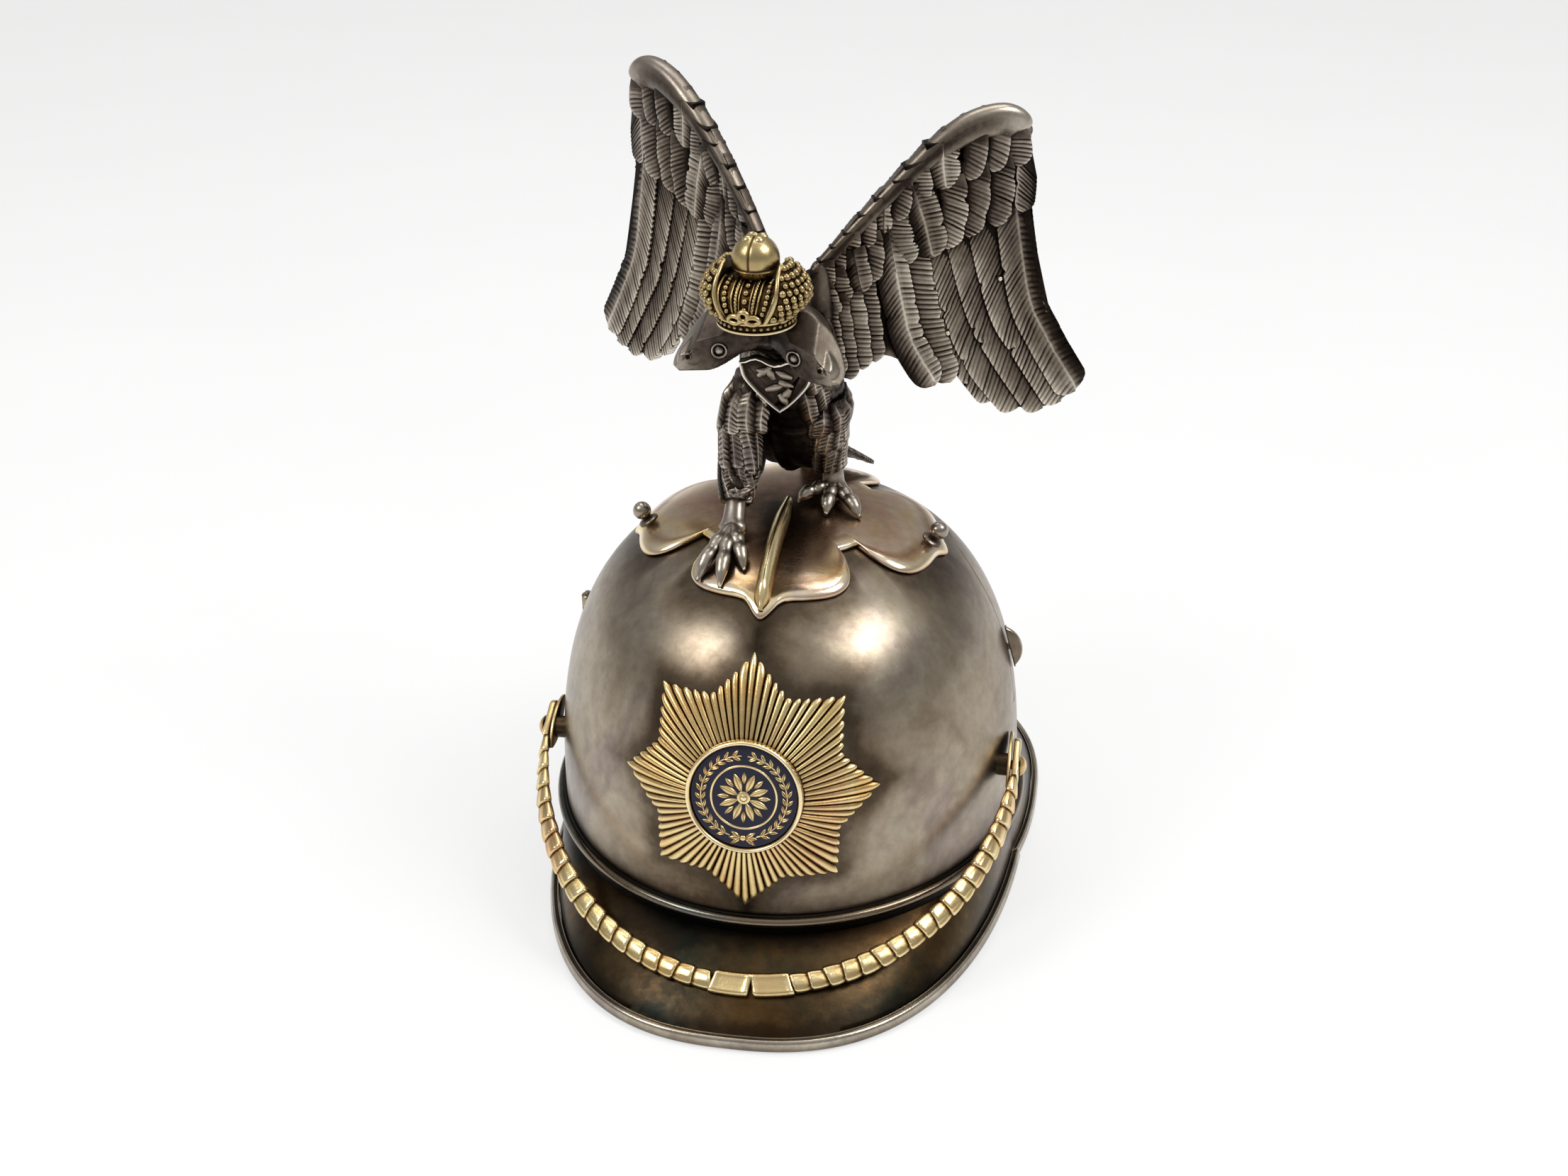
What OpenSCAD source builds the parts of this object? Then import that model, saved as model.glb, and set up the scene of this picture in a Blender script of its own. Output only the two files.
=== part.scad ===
// Desk miniature of a heavy cavalry parade helmet, in silver and silver gilt.
// The front looks along -Y and the rims stand on z = 0.

/* [Skull] */
// Half of the skull's width at its base
skull_half_width = 40; // [39:0.5:42]
// Distance from the middle to the front of the skull
skull_front = 44.4; // [43:0.1:46]
// Distance from the middle to the back of the skull
skull_back = 43; // [42:0.5:45]
// Height of the skull's top above the table
skull_top = 65; // [63:0.5:68]
// Height at which the skull starts to curve in
spring_z = 12.9; // [12.5:0.1:13.5]
// Height of the skull's lower edge
skull_low = 9.4; // [9:0.1:10]
// Roundness of the skull, where 2 gives an ellipsoid
skull_power = 2.8; // [2.6:0.05:3]
// Thickness of the skull's sheet
skull_wall = 0.9; // [0.8:0.05:1.1]
// How far the bead round the skull's foot stands out
bead_out = 1.6; // [1.4:0.1:2]

/* [Brim] */
// How far the visor reaches in front of the skull
visor_reach = 16.8; // [16:0.1:18]
// How far the neck guard reaches behind the skull
neck_reach = 17; // [14:0.5:19]
// How far the visor's rim stands out at the sides of the skull
visor_side = 2.3; // [2.1:0.1:2.8]
// How far the neck guard's rim stands out at the sides of the skull
neck_side = 3.6; // [3:0.1:4]
// Distance behind the skull's middle at which the visor's rim would be widest
visor_middle = 15; // [13:0.5:17]
// Distance behind the skull's middle at which the neck guard's rim is widest
neck_middle = 18; // [17:0.5:20]
// Roundness of the visor's rim
visor_power = 2.5; // [2.4:0.05:2.6]
// Roundness of the neck guard's rim
neck_power = 2.3; // [2.2:0.05:2.4]
// Thickness of the visor and of the neck guard
brim_wall = 0.8; // [0.7:0.05:0.9]
// Width of the rolled edge of the visor
trim_width = 1.5; // [1.3:0.1:1.7]
// Height of the rolled edge of the visor
trim_height = 2.2; // [2:0.1:2.5]
// Distance in front of the skull's middle at which the visor ends on the skull
visor_end = 8; // [7:0.5:9]
// Distance in front of the skull's middle at which the visor ends at its rim
visor_rim_end = 3; // [2:0.5:5]

/* [Rear door] */
// Height of the door's lower edge
door_low = 31.8; // [30:0.2:33]
// Height of the door's upper edge
door_high = 57.4; // [56:0.2:58]
// Seam of the door on the thumb piece's side, behind the skull's middle
door_seam = -1.4; // [-2.4:0.2:0]
// Seam of the door on the hinge side, behind the skull's middle
door_hinge_seam = 7; // [6.5:0.1:7.5]
// Radius of the door's upper corners
door_corner = 8; // [6:0.5:10]
// Gap round the door
door_gap = 0.25; // [0.2:0.05:0.35]
// Radius of the hinge pin
hinge_pin_r = 0.5; // [0.45:0.05:0.6]
// Outer radius of the hinge knuckles
hinge_knuckle_r = 1.15; // [1.1:0.05:1.3]
// Height of each hinge knuckle
hinge_knuckle_h = 2.6; // [2.2:0.1:3]
// Radius of the round thumb piece
thumb_r = 4.6; // [4:0.1:5]
// How far the thumb piece stands out of the door
thumb_out = 2.2; // [1.8:0.1:2.6]

/* [Star] */
// Height of the middle of the star
star_z = 36; // [35:0.2:37]
// Radius of the star at its points
star_tip_r = 20.5; // [19.5:0.1:21]
// Radius of the star between its points
star_notch_r = 16; // [15.5:0.1:16.5]
// Number of rays to each point of the star
rays_to_point = 10; // [8:1:11]
// Radius of the medallion's cup
cup_r = 9.3; // [9:0.1:9.6]
// Height of the medallion's cup
cup_h = 2; // [1.8:0.1:2.2]
// Radius of the enamel disc
enamel_r = 8.5; // [8.3:0.1:8.5]
// Radius of the gilt ring in the enamel
motif_ring_r = 5.2; // [4.8:0.1:5.6]

/* [Crest] */
// Radius of the crest plate's side arms
plate_arm_r = 26; // [25:0.1:27]
// Radius of the crest plate's front tip
plate_tip_r = 28.6; // [27.6:0.1:29]
// Radius of the crest plate between its arms
plate_waist_r = 16.3; // [15.5:0.1:17]
// Thickness of the crest plate
plate_thick = 0.9; // [0.7:0.05:1.1]
// Distance of the ball nuts from the ends of the side arms
ball_inset = 2.4; // [2:0.1:3]
// Radius of the ball nuts
ball_r = 1.55; // [1.4:0.05:1.7]
// Width of the keel on the crest plate
keel_width = 1.5; // [1.3:0.1:1.7]
// Height of the keel on the crest plate
keel_height = 2.3; // [2:0.1:2.6]

/* [Eagle] */
// Turn of the eagle towards its right
eagle_turn = 8; // [7:0.5:9]
// Backward sweep of the wings
wing_sweep = 32; // [30:1:34]
// Thickness of the wing bone
wing_bone = 2.6; // [2.3:0.1:2.8]
// How much higher the eagle holds its right wing
wing_raise = 3.6; // [2:0.2:4]
// Depth of the wing's hollow
wing_camber = 1.4; // [1:0.1:1.6]
// Radius of the studs under the feet
foot_stud_r = 0.9; // [0.8:0.05:1]
// Width of the breast shield
shield_width = 11.6; // [11:0.1:12]
// Height of the breast shield
shield_height = 10.6; // [10:0.1:11]
// Outer radius of the crown's band
crown_r = 6.1; // [5.8:0.1:6.3]
// Height of the crown's band
crown_band_h = 2; // [1.8:0.1:2.2]
// Radius of the crown's orb
orb_r = 3.65; // [3.4:0.05:3.8]
// Height of the crown's cap above its band
cap_h = 5.3; // [5:0.1:5.6]
// Height of the crown's side halves above its band
mitre_h = 7.8; // [7.2:0.1:8.2]
// Distance of the crown's side halves from its middle, at their widest
mitre_half = 8.2; // [7.8:0.1:8.4]

/* [Chin chain] */
// Reach of the boss leaves in front of the pivots
boss_leaf_front = 4.6; // [4:0.1:5]
// Reach of the boss leaves behind the pivots
boss_leaf_back = 6.6; // [6:0.1:7]
// Half of the boss leaves' width
boss_leaf_half = 2.4; // [2.2:0.1:2.8]
// Height of the chain's pivots
pivot_z = 26.3; // [25.5:0.1:27]
// Distance of the pivots in front of the skull's middle
pivot_front = 13.2; // [12.5:0.1:14]
// Reach of the chain from its pivots to its middle
chain_reach = 44.8; // [44.6:0.1:45.4]
// Width of the chain
chain_width = 3.6; // [3.2:0.1:3.8]
// Number of scales on the longer side
chain_scales = 19; // [16:1:21]
// Radius of the rivet shanks
rivet_r = 0.8; // [0.7:0.05:0.9]
// Running clearance of the pivots and the hinge
running_gap = 0.06; // [0.04:0.01:0.09]

/* [Hidden] */

// Gap between pieces that are soldered or seated on each other
seat = 0.06;
// Clearance round shanks and pins that don't turn
snug = 0.03;
round_fn = 48;
small_fn = 18;
nut_sides = 6;
skull_sides = 56;
skull_rows = 13;
last_row = 88;
band_out = 0.6;
silver = [0.56, 0.54, 0.5];
dark_silver = [0.3, 0.28, 0.26];
gilt = [0.8, 0.66, 0.36];
navy = [0.05, 0.06, 0.3];

// Small tools

function unit(v) = v / norm(v);
function spow(v, e) = sign(v) * pow(abs(v), e);
function mix(a, b, t) = a + (b - a) * t;
function steps_between(a, b, n) = [for (i = [0:n]) mix(a, b, i / n)];
function total(list) = list * [for (v = list) 1];

// Point on a smooth curve through the given points, t from 0 to 1
function curve(pts, t) =
    let (last = len(pts) - 1, s = min(t * last, last - 0.0001), i = floor(s), f = s - i,
        p1 = pts[i], p2 = pts[i + 1],
        p0 = i > 0 ? pts[i - 1] : 2 * p1 - p2,
        p3 = i + 2 <= last ? pts[i + 2] : 2 * p2 - p1)
    0.5 * (2 * p1 + (p2 - p0) * f + (2 * p0 - 5 * p1 + 4 * p2 - p3) * f * f
        + (3 * p1 - p0 - 3 * p2 + p3) * f * f * f);

// Ellipse of n points round c, in the plane of the directions u and v
function oval(c, u, v, n) = [for (i = [0:n - 1])
    let (a = 360 * (i + 0.5) / n)
    c + u * cos(a) + v * sin(a)];

// Solid through rings that all have the same even number of points
module skin(rings, closed = false) {
    n = len(rings[0]);
    m = len(rings);
    pts = [for (r = rings) each r];
    sides = [for (i = [0:closed ? m - 1 : m - 2], j = [0:n - 1])
        let (k = (i + 1) % m * n, a = i * n + j, b = i * n + (j + 1) % n, c = k + (j + 1) % n, d = k + j)
        each [[a, b, c], [a, c, d]]];
    ends = closed ? [] : [for (e = [0, 1], j = [0:n / 2 - 2])
        let (o = e * (m - 1) * n, a = o + j, b = o + j + 1, c = o + n - 2 - j, d = o + n - 1 - j)
        each e == 0 ? [[a, c, b], [a, d, c]] : [[a, b, c], [a, c, d]]];
    faces = concat(ends, sides);
    volume = total([for (f = faces) cross(pts[f[0]], pts[f[1]]) * pts[f[2]]]);
    polyhedron(pts, volume > 0 ? [for (f = faces) [f[2], f[1], f[0]]] : faces, convexity = 8);
}

// Bore through a sheet
module bore(r) {
    cylinder(r = r, h = 8, center = true, $fn = round_fn);
}

// Turns the children's z axis to the direction n and moves them to p
module stand_on(p, n) {
    translate(p)
        rotate([0, acos(n[2]), atan2(n[1], n[0])])
            children();
}

// Skull surface, grown outwards by d

function rise(d) = skull_top - spring_z + d;
function depth(y, d) = (y < 0 ? skull_front : skull_back) + d;
function skull_share(z, d) = z <= spring_z ? 1
    : pow(max(0, 1 - pow((z - spring_z) / rise(d), skull_power)), 1 / skull_power);
function skull_point(a, h, d) =
    let (r = pow(cos(h), 2 / skull_power))
    [(skull_half_width + d) * r * cos(a), depth(sin(a), d) * r * sin(a),
        spring_z + rise(d) * pow(sin(h), 2 / skull_power)];
function skull_z(x, y, d) =
    let (q = norm([x / (skull_half_width + d), y / depth(y, d)]))
    spring_z + rise(d) * pow(max(0, 1 - pow(q, skull_power)), 1 / skull_power);
function skull_y(x, z, d) =
    -(skull_front + d) * sqrt(max(0, pow(skull_share(z, d), 2) - pow(x / (skull_half_width + d), 2)));
function skull_x(y, z, d) =
    (skull_half_width + d) * sqrt(max(0, pow(skull_share(z, d), 2) - pow(y / depth(y, d), 2)));
function skull_out(p) =
    let (q = max(0, (p[2] - spring_z) / rise(0)),
        g = pow(max(0.000001, 1 - pow(q, skull_power)), 2 / skull_power - 1)
            * pow(q, skull_power - 1) / rise(0))
    unit([p[0] / pow(skull_half_width, 2), p[1] / pow(depth(p[1], 0), 2), g]);

function skull_ring(h, d) = [for (i = [0:skull_sides - 1])
    skull_point(360 * (i + 0.5) / skull_sides, h, d)];
function skull_foot(d) = [for (p = skull_ring(0, d)) [p[0], p[1], skull_low]];

// Places on the skull that more than one piece uses
ball_nut_x = plate_arm_r - ball_inset;
ball_spots = [for (s = [-1, 1]) [s * ball_nut_x, -0.9, skull_z(ball_nut_x, -0.9, 0)]];
star_pin_x = 13.5;
star_pins_at = [for (s = [-1, 1]) [s * star_pin_x, skull_y(star_pin_x, star_z, 0), star_z]];
pivot_y = -pivot_front;
boss_x = skull_x(pivot_y, pivot_z, 0);
bush_r = 1.9;
shank_r = 0.75;
pin_r = 0.6;

module skull_sheet() {
    hs = [for (i = [0:skull_rows]) last_row * i / skull_rows];
    skin(concat(
        [for (i = [skull_rows:-1:0]) skull_ring(hs[i], -skull_wall)],
        [skull_foot(-skull_wall), skull_foot(0)],
        [for (h = hs) skull_ring(h, 0)]));
}

// Door

// How far the seams lean back for each unit of height
door_lean = 0.22;
seam_far = skull_back + 20;

function corner_arc(y, z, r, a1, a2) = [for (i = [0:5])
    let (a = mix(a1, a2, i / 5))
    [y + r * cos(a), z + r * sin(a)]];

// Place of the seam at height z, for a seam that starts at y
function seam_y(y, z) = y + (z - door_low) * door_lean;

// Side view of the door opening, grown outwards by g, with its seam at y
module door_outline(y, g) {
    low = door_low - g;
    high = door_high + g;
    corner_z = high - door_corner;
    corner_y = seam_y(y - g, corner_z) + door_corner * norm([1, door_lean]);
    polygon(concat([[seam_y(y - g, low), low]],
        corner_arc(corner_y, corner_z, door_corner, 180 - atan(door_lean), 90),
        [[seam_far, high], [seam_far, low]]));
}

module door_space(g) {
    out = skull_half_width + 10;
    rotate([90, 0, 90]) {
        linear_extrude(out)
            door_outline(door_seam, g);
        translate([0, 0, -out])
            linear_extrude(out + 1)
                door_outline(door_hinge_seam, g);
    }
}

// Hinge let into the seam; its pin stands as far out as the skull does at the door's lower edge
hinge_low = door_low + 1.6;
hinge_mid = hinge_low + 1.5 * hinge_knuckle_h;
hinge_y = seam_y(door_hinge_seam, hinge_mid);
hinge_at = [-skull_x(hinge_y, door_low, 0), hinge_y];
hinge_out = skull_out([hinge_at[0], hinge_y, door_low]);
hinge_room = 0.25;
knuckle_gap = 0.12;
// How far the pin stands out of the knuckles
pin_end = 0.4;
// Distance of the knuckles' blocks from the pin's middle plane
block_off = 0.45;

module in_hinge_frame() {
    translate([hinge_at[0], hinge_at[1], 0])
        rotate([0, 0, atan2(hinge_out[1], hinge_out[0])])
            children();
}

// Room round the knuckles and the ends of the pin
module hinge_slot() {
    in_hinge_frame()
        translate([0, 0, hinge_low - pin_end - hinge_room])
            cylinder(r = hinge_knuckle_r + hinge_room, h = 3 * hinge_knuckle_h + 2 * (pin_end + hinge_room),
                $fn = round_fn);
}

// One knuckle with the block that carries it, on the side s of the pin
module knuckle(i, s, bore) {
    h = hinge_knuckle_h - knuckle_gap;
    side = hinge_knuckle_r + hinge_room + 0.6;
    mid = hinge_low + (i + 0.5) * hinge_knuckle_h;
    inward = skull_x(hinge_y, door_low, 0) - skull_x(hinge_y, mid, 0);
    in_hinge_frame()
        translate([0, 0, hinge_low + i * hinge_knuckle_h])
            difference() {
                union() {
                    cylinder(r = hinge_knuckle_r, h = h, $fn = round_fn);
                    translate([-inward - 0.8 * skull_wall, s > 0 ? block_off : -side, 0])
                        cube([inward + 0.8 * skull_wall - 0.2, side - block_off, h]);
                }
                translate([0, 0, -1])
                    cylinder(r = hinge_pin_r + bore, h = h + 2, $fn = round_fn);
            }
}

// Thumb piece on the free edge of the door
thumb_z = mix(door_low, door_high, 0.32);
thumb_y = seam_y(door_seam, thumb_z) + 2.4;
thumb_at = [skull_x(thumb_y, thumb_z, 0), thumb_y, thumb_z];
thumb_thick = 1.1;
thumb_pin_r = 0.55;

module stand_on_thumb() {
    n = skull_out(thumb_at);
    translate(thumb_at)
        rotate([0, 0, atan2(n[1], n[0])])
            rotate([0, acos(n[2]) - 90, 0])
                children();
}

module skull() {
    color(silver) {
        difference() {
            skull_sheet();
            door_space(door_gap);
            for (p = concat(ball_spots, star_pins_at))
                stand_on(p, skull_out(p))
                    bore((abs(p[0]) < ball_nut_x ? pin_r : shank_r) + snug);
            for (p = foot_spots)
                translate([p[0], p[1], skull_z(p[0], p[1], 0)])
                    cylinder(r = foot_stud_r + snug, h = 12, center = true, $fn = round_fn);
            for (s = [-1, 1])
                translate([s * boss_x, pivot_y, pivot_z])
                    rotate([0, 90, 0])
                        cylinder(r = bush_r + snug, h = 8, center = true, $fn = round_fn);
            hinge_slot();
        }
        knuckle(0, 1, snug);
        knuckle(2, 1, snug);
    }
}

module rear_door() {
    color(silver) {
        difference() {
            intersection() {
                skull_sheet();
                door_space(0);
            }
            stand_on_thumb()
                rotate([0, 90, 0])
                    cylinder(r = thumb_pin_r + snug, h = 6, center = true, $fn = round_fn);
            hinge_slot();
        }
        knuckle(1, -1, running_gap);
    }
}

module hinge_pin() {
    color(silver)
        in_hinge_frame()
            translate([0, 0, hinge_low - pin_end])
                cylinder(r = hinge_pin_r, h = 3 * hinge_knuckle_h + 2 * pin_end, $fn = round_fn);
}

module thumb_piece() {
    inner = thumb_r - thumb_out;
    color(silver)
        stand_on_thumb() {
            translate([seat + 0.14 - inner, 0, 0])
                rotate([90, 0, 0])
                    linear_extrude(thumb_thick, center = true)
                        difference() {
                            circle(thumb_r, $fn = round_fn);
                            translate([-2 * thumb_r + inner, -thumb_r])
                                square([2 * thumb_r, 2 * thumb_r]);
                        }
            translate([-skull_wall - 0.2, 0, 0])
                rotate([0, 90, 0])
                    cylinder(r = thumb_pin_r, h = skull_wall + 0.6, $fn = round_fn);
        }
}

// Band with its bead round the foot of the skull

band_section = [[seat, 14.3], [0.9, 14], [bead_out, 13.3], [bead_out, 12.6], [band_out, 12], [band_out, 9],
    [seat, 9], [seat, 11]];

module base_band() {
    rings = [for (i = [0:skull_sides - 1])
        let (a = 360 * (i + 0.5) / skull_sides)
        [for (s = band_section) let (p = skull_point(a, 0, s[0])) [p[0], p[1], s[1] + spring_z - 12.9]]];
    color(silver)
        skin(rings, closed = true);
}

module base_plate() {
    edge = [for (p = skull_ring(0, -skull_wall - 0.25)) [p[0], p[1], skull_low + 0.3]];
    color(gilt)
        skin([edge, [for (p = edge) p + [0, 0, 0.9]]]);
}

// Brim

brim_top = spring_z - 2.3;
visor_bulge = 0.9;
// How far in front of the skull the neck guard's rim would reach, if it ran all round
neck_front = -7.4;
neck_trim_width = trim_width - 0.2;
neck_trim_height = trim_height - 0.3;
brim_rows = 5;
// Angle left open between the visor and the neck guard
brim_gap = 0.5;
brim_seat = 0.2;

// Plan of a rim: half width, middle, lengths in front and behind, roundness
visor_plan = [skull_half_width + visor_side, visor_middle, skull_front + visor_reach + visor_middle,
    skull_back + neck_reach - visor_middle, visor_power];
neck_plan = [skull_half_width + neck_side, neck_middle, skull_front + neck_front + neck_middle,
    skull_back + neck_reach - neck_middle, neck_power];

// Point on a rim at the angle a, grown outwards by d
function rim_point(plan, a, d) =
    let (p = 2 / plan[4], len = (sin(a) < 0 ? plan[2] : plan[3]) + d)
    [(plan[0] + d) * spow(cos(a), p), plan[1] + len * spow(sin(a), p)];
// Angle at which a rim passes the distance y in front of the skull's middle
function rim_angle(plan, y) = asin(pow((plan[1] + y) / plan[2], plan[4] / 2));
function inner_point(a) = let (p = skull_point(a, 0, band_out + seat)) [p[0], p[1]];
inner_angle = asin(visor_end / (skull_front + band_out + seat));
visor_angle = rim_angle(visor_plan, visor_rim_end);
neck_angle = rim_angle(neck_plan, visor_rim_end);

// Section of a brim's sheet, from the inner edge to the rim and back
function brim_row(plan, a_in, a_out, inset, low) = [for (i = [0:brim_rows])
    let (u = i / brim_rows, p = mix(inner_point(a_in), rim_point(plan, a_out, -inset), u))
    [p[0], p[1], mix(brim_top, low, u) + visor_bulge * sin(180 * u)]];
function brim_section(plan, a_in, a_out, width, height) =
    let (over = brim_row(plan, a_in, a_out, width + seat, height - brim_seat))
    concat(over, [for (i = [brim_rows:-1:0]) over[i] - [0, 0, brim_wall]]);

visor_steps = 44;
visor_in = steps_between(-inner_angle - brim_gap, inner_angle + brim_gap - 180, visor_steps);
visor_rim = steps_between(-visor_angle - brim_gap, visor_angle + brim_gap - 180, visor_steps);
neck_steps = 44;
neck_in = steps_between(-inner_angle, inner_angle + 180, neck_steps);
neck_rim = steps_between(-neck_angle, neck_angle + 180, neck_steps);

// Brim in two halves that meet in the middle, through the angles of its inner edge and of its rim
module brim(plan, ins, rims, width, height, halves) {
    middle = (len(ins) - 1) / 2;
    for (half = halves)
        skin([for (i = [half * middle:(half + 1) * middle])
            brim_section(plan, ins[i], rims[i], width, height)]);
}

module visor() {
    color(dark_silver)
        brim(visor_plan, visor_in, visor_rim, trim_width, trim_height, [1, 0]);
}

module neck_guard() {
    color(dark_silver)
        brim(neck_plan, neck_in, neck_rim, neck_trim_width, neck_trim_height, [0, 1]);
}

// Rolled edge of width w and height h
function trim_section(w, h) = [[-w, 0.6 * h], [-w, 0.9 * h], [-0.8 * w, h], [-0.5 * w, 0.93 * h],
    [-0.15 * w, 0.66 * h], [0, 0.35 * h], [0, 0.15 * h], [-0.12 * w, 0], [-0.6 * w, 0], [-w, 0]];
function trim_ring(plan, a, w, h) = [for (s = trim_section(w, h))
    let (p = rim_point(plan, a, s[0])) [p[0], p[1], s[1]]];

module visor_trim() {
    color(silver)
        skin([for (a = visor_rim) trim_ring(visor_plan, a, trim_width, trim_height)]);
}

module neck_guard_trim() {
    color(silver)
        skin([for (a = neck_rim) trim_ring(neck_plan, a, neck_trim_width, neck_trim_height)]);
}

// Star

star_samples = 16 * rays_to_point;
star_tilt = 90 - acos(skull_out([0, skull_y(0, star_z, 0), star_z])[2]);
star_hole_r = cup_r + 0.2;
// Distance of the star's and the crest plate's undersides from the skull
star_seat = 0.2;
plate_seat = 0.22;

function star_edge(a) =
    let (t = abs((a + 360) % 45 - 22.5) / 22.5,
        tip = [star_tip_r, 0], notch = star_notch_r * [cos(22.5), sin(22.5)], b = 22.5 * (1 - t))
    // Straight edge between the notch and the tip, met by the ray at b degrees from the tip
    (tip[0] * notch[1]) / (notch[1] * cos(b) + (tip[0] - notch[0]) * sin(b));
function star_point(r, a, d) =
    let (x = r * cos(a), z = star_z + r * sin(a) * cos(star_tilt))
    [x, skull_y(x, z, d), z];
function star_ring(share, low, high) = [for (i = [0:star_samples - 1])
    let (a = 360 * i / star_samples, groove = i % 2,
        r = mix(star_hole_r, star_edge(a) - groove * 0.5 * share, share))
    star_point(r, a, groove == 1 ? low : high)];

module star_badge() {
    color(gilt)
        skin([star_ring(0, star_seat, star_seat), star_ring(0.36, star_seat, star_seat),
            star_ring(0.7, star_seat, star_seat), star_ring(1, star_seat, star_seat),
            star_ring(1, 0.35, 0.6), star_ring(0.55, 0.7, 1.15), star_ring(0, 1.1, 1.4)], closed = true);
}

module star_pins() {
    color(silver)
        for (p = star_pins_at)
            stand_on(p, skull_out(p))
                translate([0, 0, -skull_wall - 2])
                    cylinder(r = pin_r, h = skull_wall + 2.1, $fn = round_fn);
}

module inside_nut(bore, width) {
    translate([0, 0, -skull_wall - 1.5])
        difference() {
            cylinder(r = width, h = 1.2, $fn = nut_sides);
            translate([0, 0, -1])
                cylinder(r = bore + snug, h = 4, $fn = round_fn);
        }
}

module star_nuts() {
    color(silver)
        for (p = star_pins_at)
            stand_on(p, skull_out(p))
                inside_nut(pin_r, 1.5);
}

// Medallion, on an axis square to the skull at the star's middle

module on_medallion() {
    translate([0, skull_y(0, star_z, 0), star_z])
        rotate([90 - star_tilt, 0, 0])
            children();
}

cup_floor = 0.85;
enamel_top = 1.5;
motif_h = 0.15;
dot_count = 18;
petal_count = 8;

module medallion_cup() {
    color(gilt)
        on_medallion()
            rotate_extrude($fn = round_fn)
                polygon([[0, 0.15], [cup_r - 0.2, 0.15], [cup_r, 0.35], [cup_r, cup_h - 0.25],
                    [cup_r - 0.25, cup_h], [enamel_r + 0.3, cup_h], [enamel_r + seat, cup_h - 0.2],
                    [enamel_r + seat, cup_floor], [0, cup_floor]]);
}

module enamel_disc() {
    color(navy)
        on_medallion()
            translate([0, 0, cup_floor + seat])
                cylinder(r = enamel_r, h = enamel_top - cup_floor - seat, $fn = round_fn);
}

module medallion_motif() {
    dot_r = mix(motif_ring_r, enamel_r, 0.5);
    color(gilt)
        on_medallion()
            translate([0, 0, enamel_top + 0.01]) {
                difference() {
                    cylinder(r = motif_ring_r + 0.17, h = motif_h, $fn = round_fn);
                    translate([0, 0, -1])
                        cylinder(r = motif_ring_r - 0.17, h = 3, $fn = round_fn);
                }
                for (i = [0:dot_count - 1])
                    rotate([0, 0, 360 * (i + 0.5) / dot_count])
                        translate([dot_r, 0, 0])
                            cylinder(r = 0.42, h = motif_h, $fn = round_fn);
                cylinder(r = 0.95, h = motif_h, $fn = round_fn);
                for (i = [0:petal_count - 1])
                    rotate([0, 0, 360 * i / petal_count])
                        translate([2.35, 0, 0])
                            cylinder(r = 0.75, h = motif_h, $fn = round_fn);
            }
}

// Crest plate

arm_half = 38.5;
plate_samples = 80;

function plate_edge(a) =
    let (d = abs((a + 405) % 90 - 45), back = sin(a) > 0.7, front = sin(a) < -0.7,
        tip = front ? plate_tip_r - plate_arm_r : back ? 1.2 : 0.8,
        lobe = pow(max(0, 1 - pow(d / arm_half, 6)), 1 / 2.2))
    plate_waist_r + (plate_arm_r - 0.6 - plate_waist_r) * lobe + (tip + 0.6) * exp(-pow(d / 5, 2));
function plate_point(a, share, d) =
    let (r = plate_edge(a) * share, x = r * cos(a), y = r * sin(a))
    [x, y, skull_z(x, y, d)];
function plate_ring(share, d) = [for (i = [0:plate_samples - 1])
    plate_point(360 * (i + 0.5) / plate_samples, share, d)];
function plate_top(x, y) = skull_z(x, y, plate_seat + plate_thick);

plate_shares = [0.15, 0.4, 0.6, 0.8];

module crest_plate() {
    top = plate_seat + plate_thick;
    under = [for (t = plate_shares) plate_ring(t, plate_seat)];
    over = [for (i = [len(plate_shares) - 1:-1:0]) plate_ring(plate_shares[i], top)];
    color(gilt)
        difference() {
            skin(concat(under, [plate_ring(0.985, plate_seat), plate_ring(1, plate_seat + 0.4 * plate_thick),
                plate_ring(0.985, top)], over));
            for (p = ball_spots)
                stand_on(p, skull_out(p))
                    cylinder(r = shank_r + snug, h = 8, center = true, $fn = round_fn);
            for (p = foot_spots)
                translate([p[0], p[1], skull_z(p[0], p[1], 0)])
                    cylinder(r = foot_stud_r + snug, h = 12, center = true, $fn = round_fn);
        }
}

module crest_keel() {
    steps = 14;
    back_y = -3.5;
    front_y = -plate_tip_r + 0.4;
    ys = [for (i = [0:steps]) mix(back_y, front_y, i / steps)];
    low = [for (y = ys) [y, plate_top(0, y) + seat]];
    high = [for (i = [steps:-1:0]) [ys[i], plate_top(0, ys[i]) + seat
        + keel_height * (0.35 + 0.65 * pow(sin(mix(28, 165, i / steps)), 0.6))]];
    color(gilt)
        rotate([90, 0, 90])
            linear_extrude(keel_width, center = true)
                polygon(concat(low, high));
}

module ball_studs() {
    foot = plate_seat + plate_thick + 0.1;
    color(silver)
        for (p = ball_spots)
            stand_on(p, skull_out(p)) {
                translate([0, 0, -skull_wall - 2.2])
                    cylinder(r = shank_r, h = skull_wall + 2.3 + foot, $fn = round_fn);
                translate([0, 0, foot])
                    cylinder(r1 = 1.7, r2 = 1, h = 0.7, $fn = round_fn);
                translate([0, 0, foot + 0.5 + ball_r])
                    sphere(ball_r, $fn = round_fn);
            }
}

module ball_stud_nuts() {
    color(silver)
        for (p = ball_spots)
            stand_on(p, skull_out(p))
                inside_nut(shank_r, 1.7);
}

// Eagle, in its own frame that is turned on the skull

eagle_x = 0.7;
perch = plate_top(0, 0);
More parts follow.
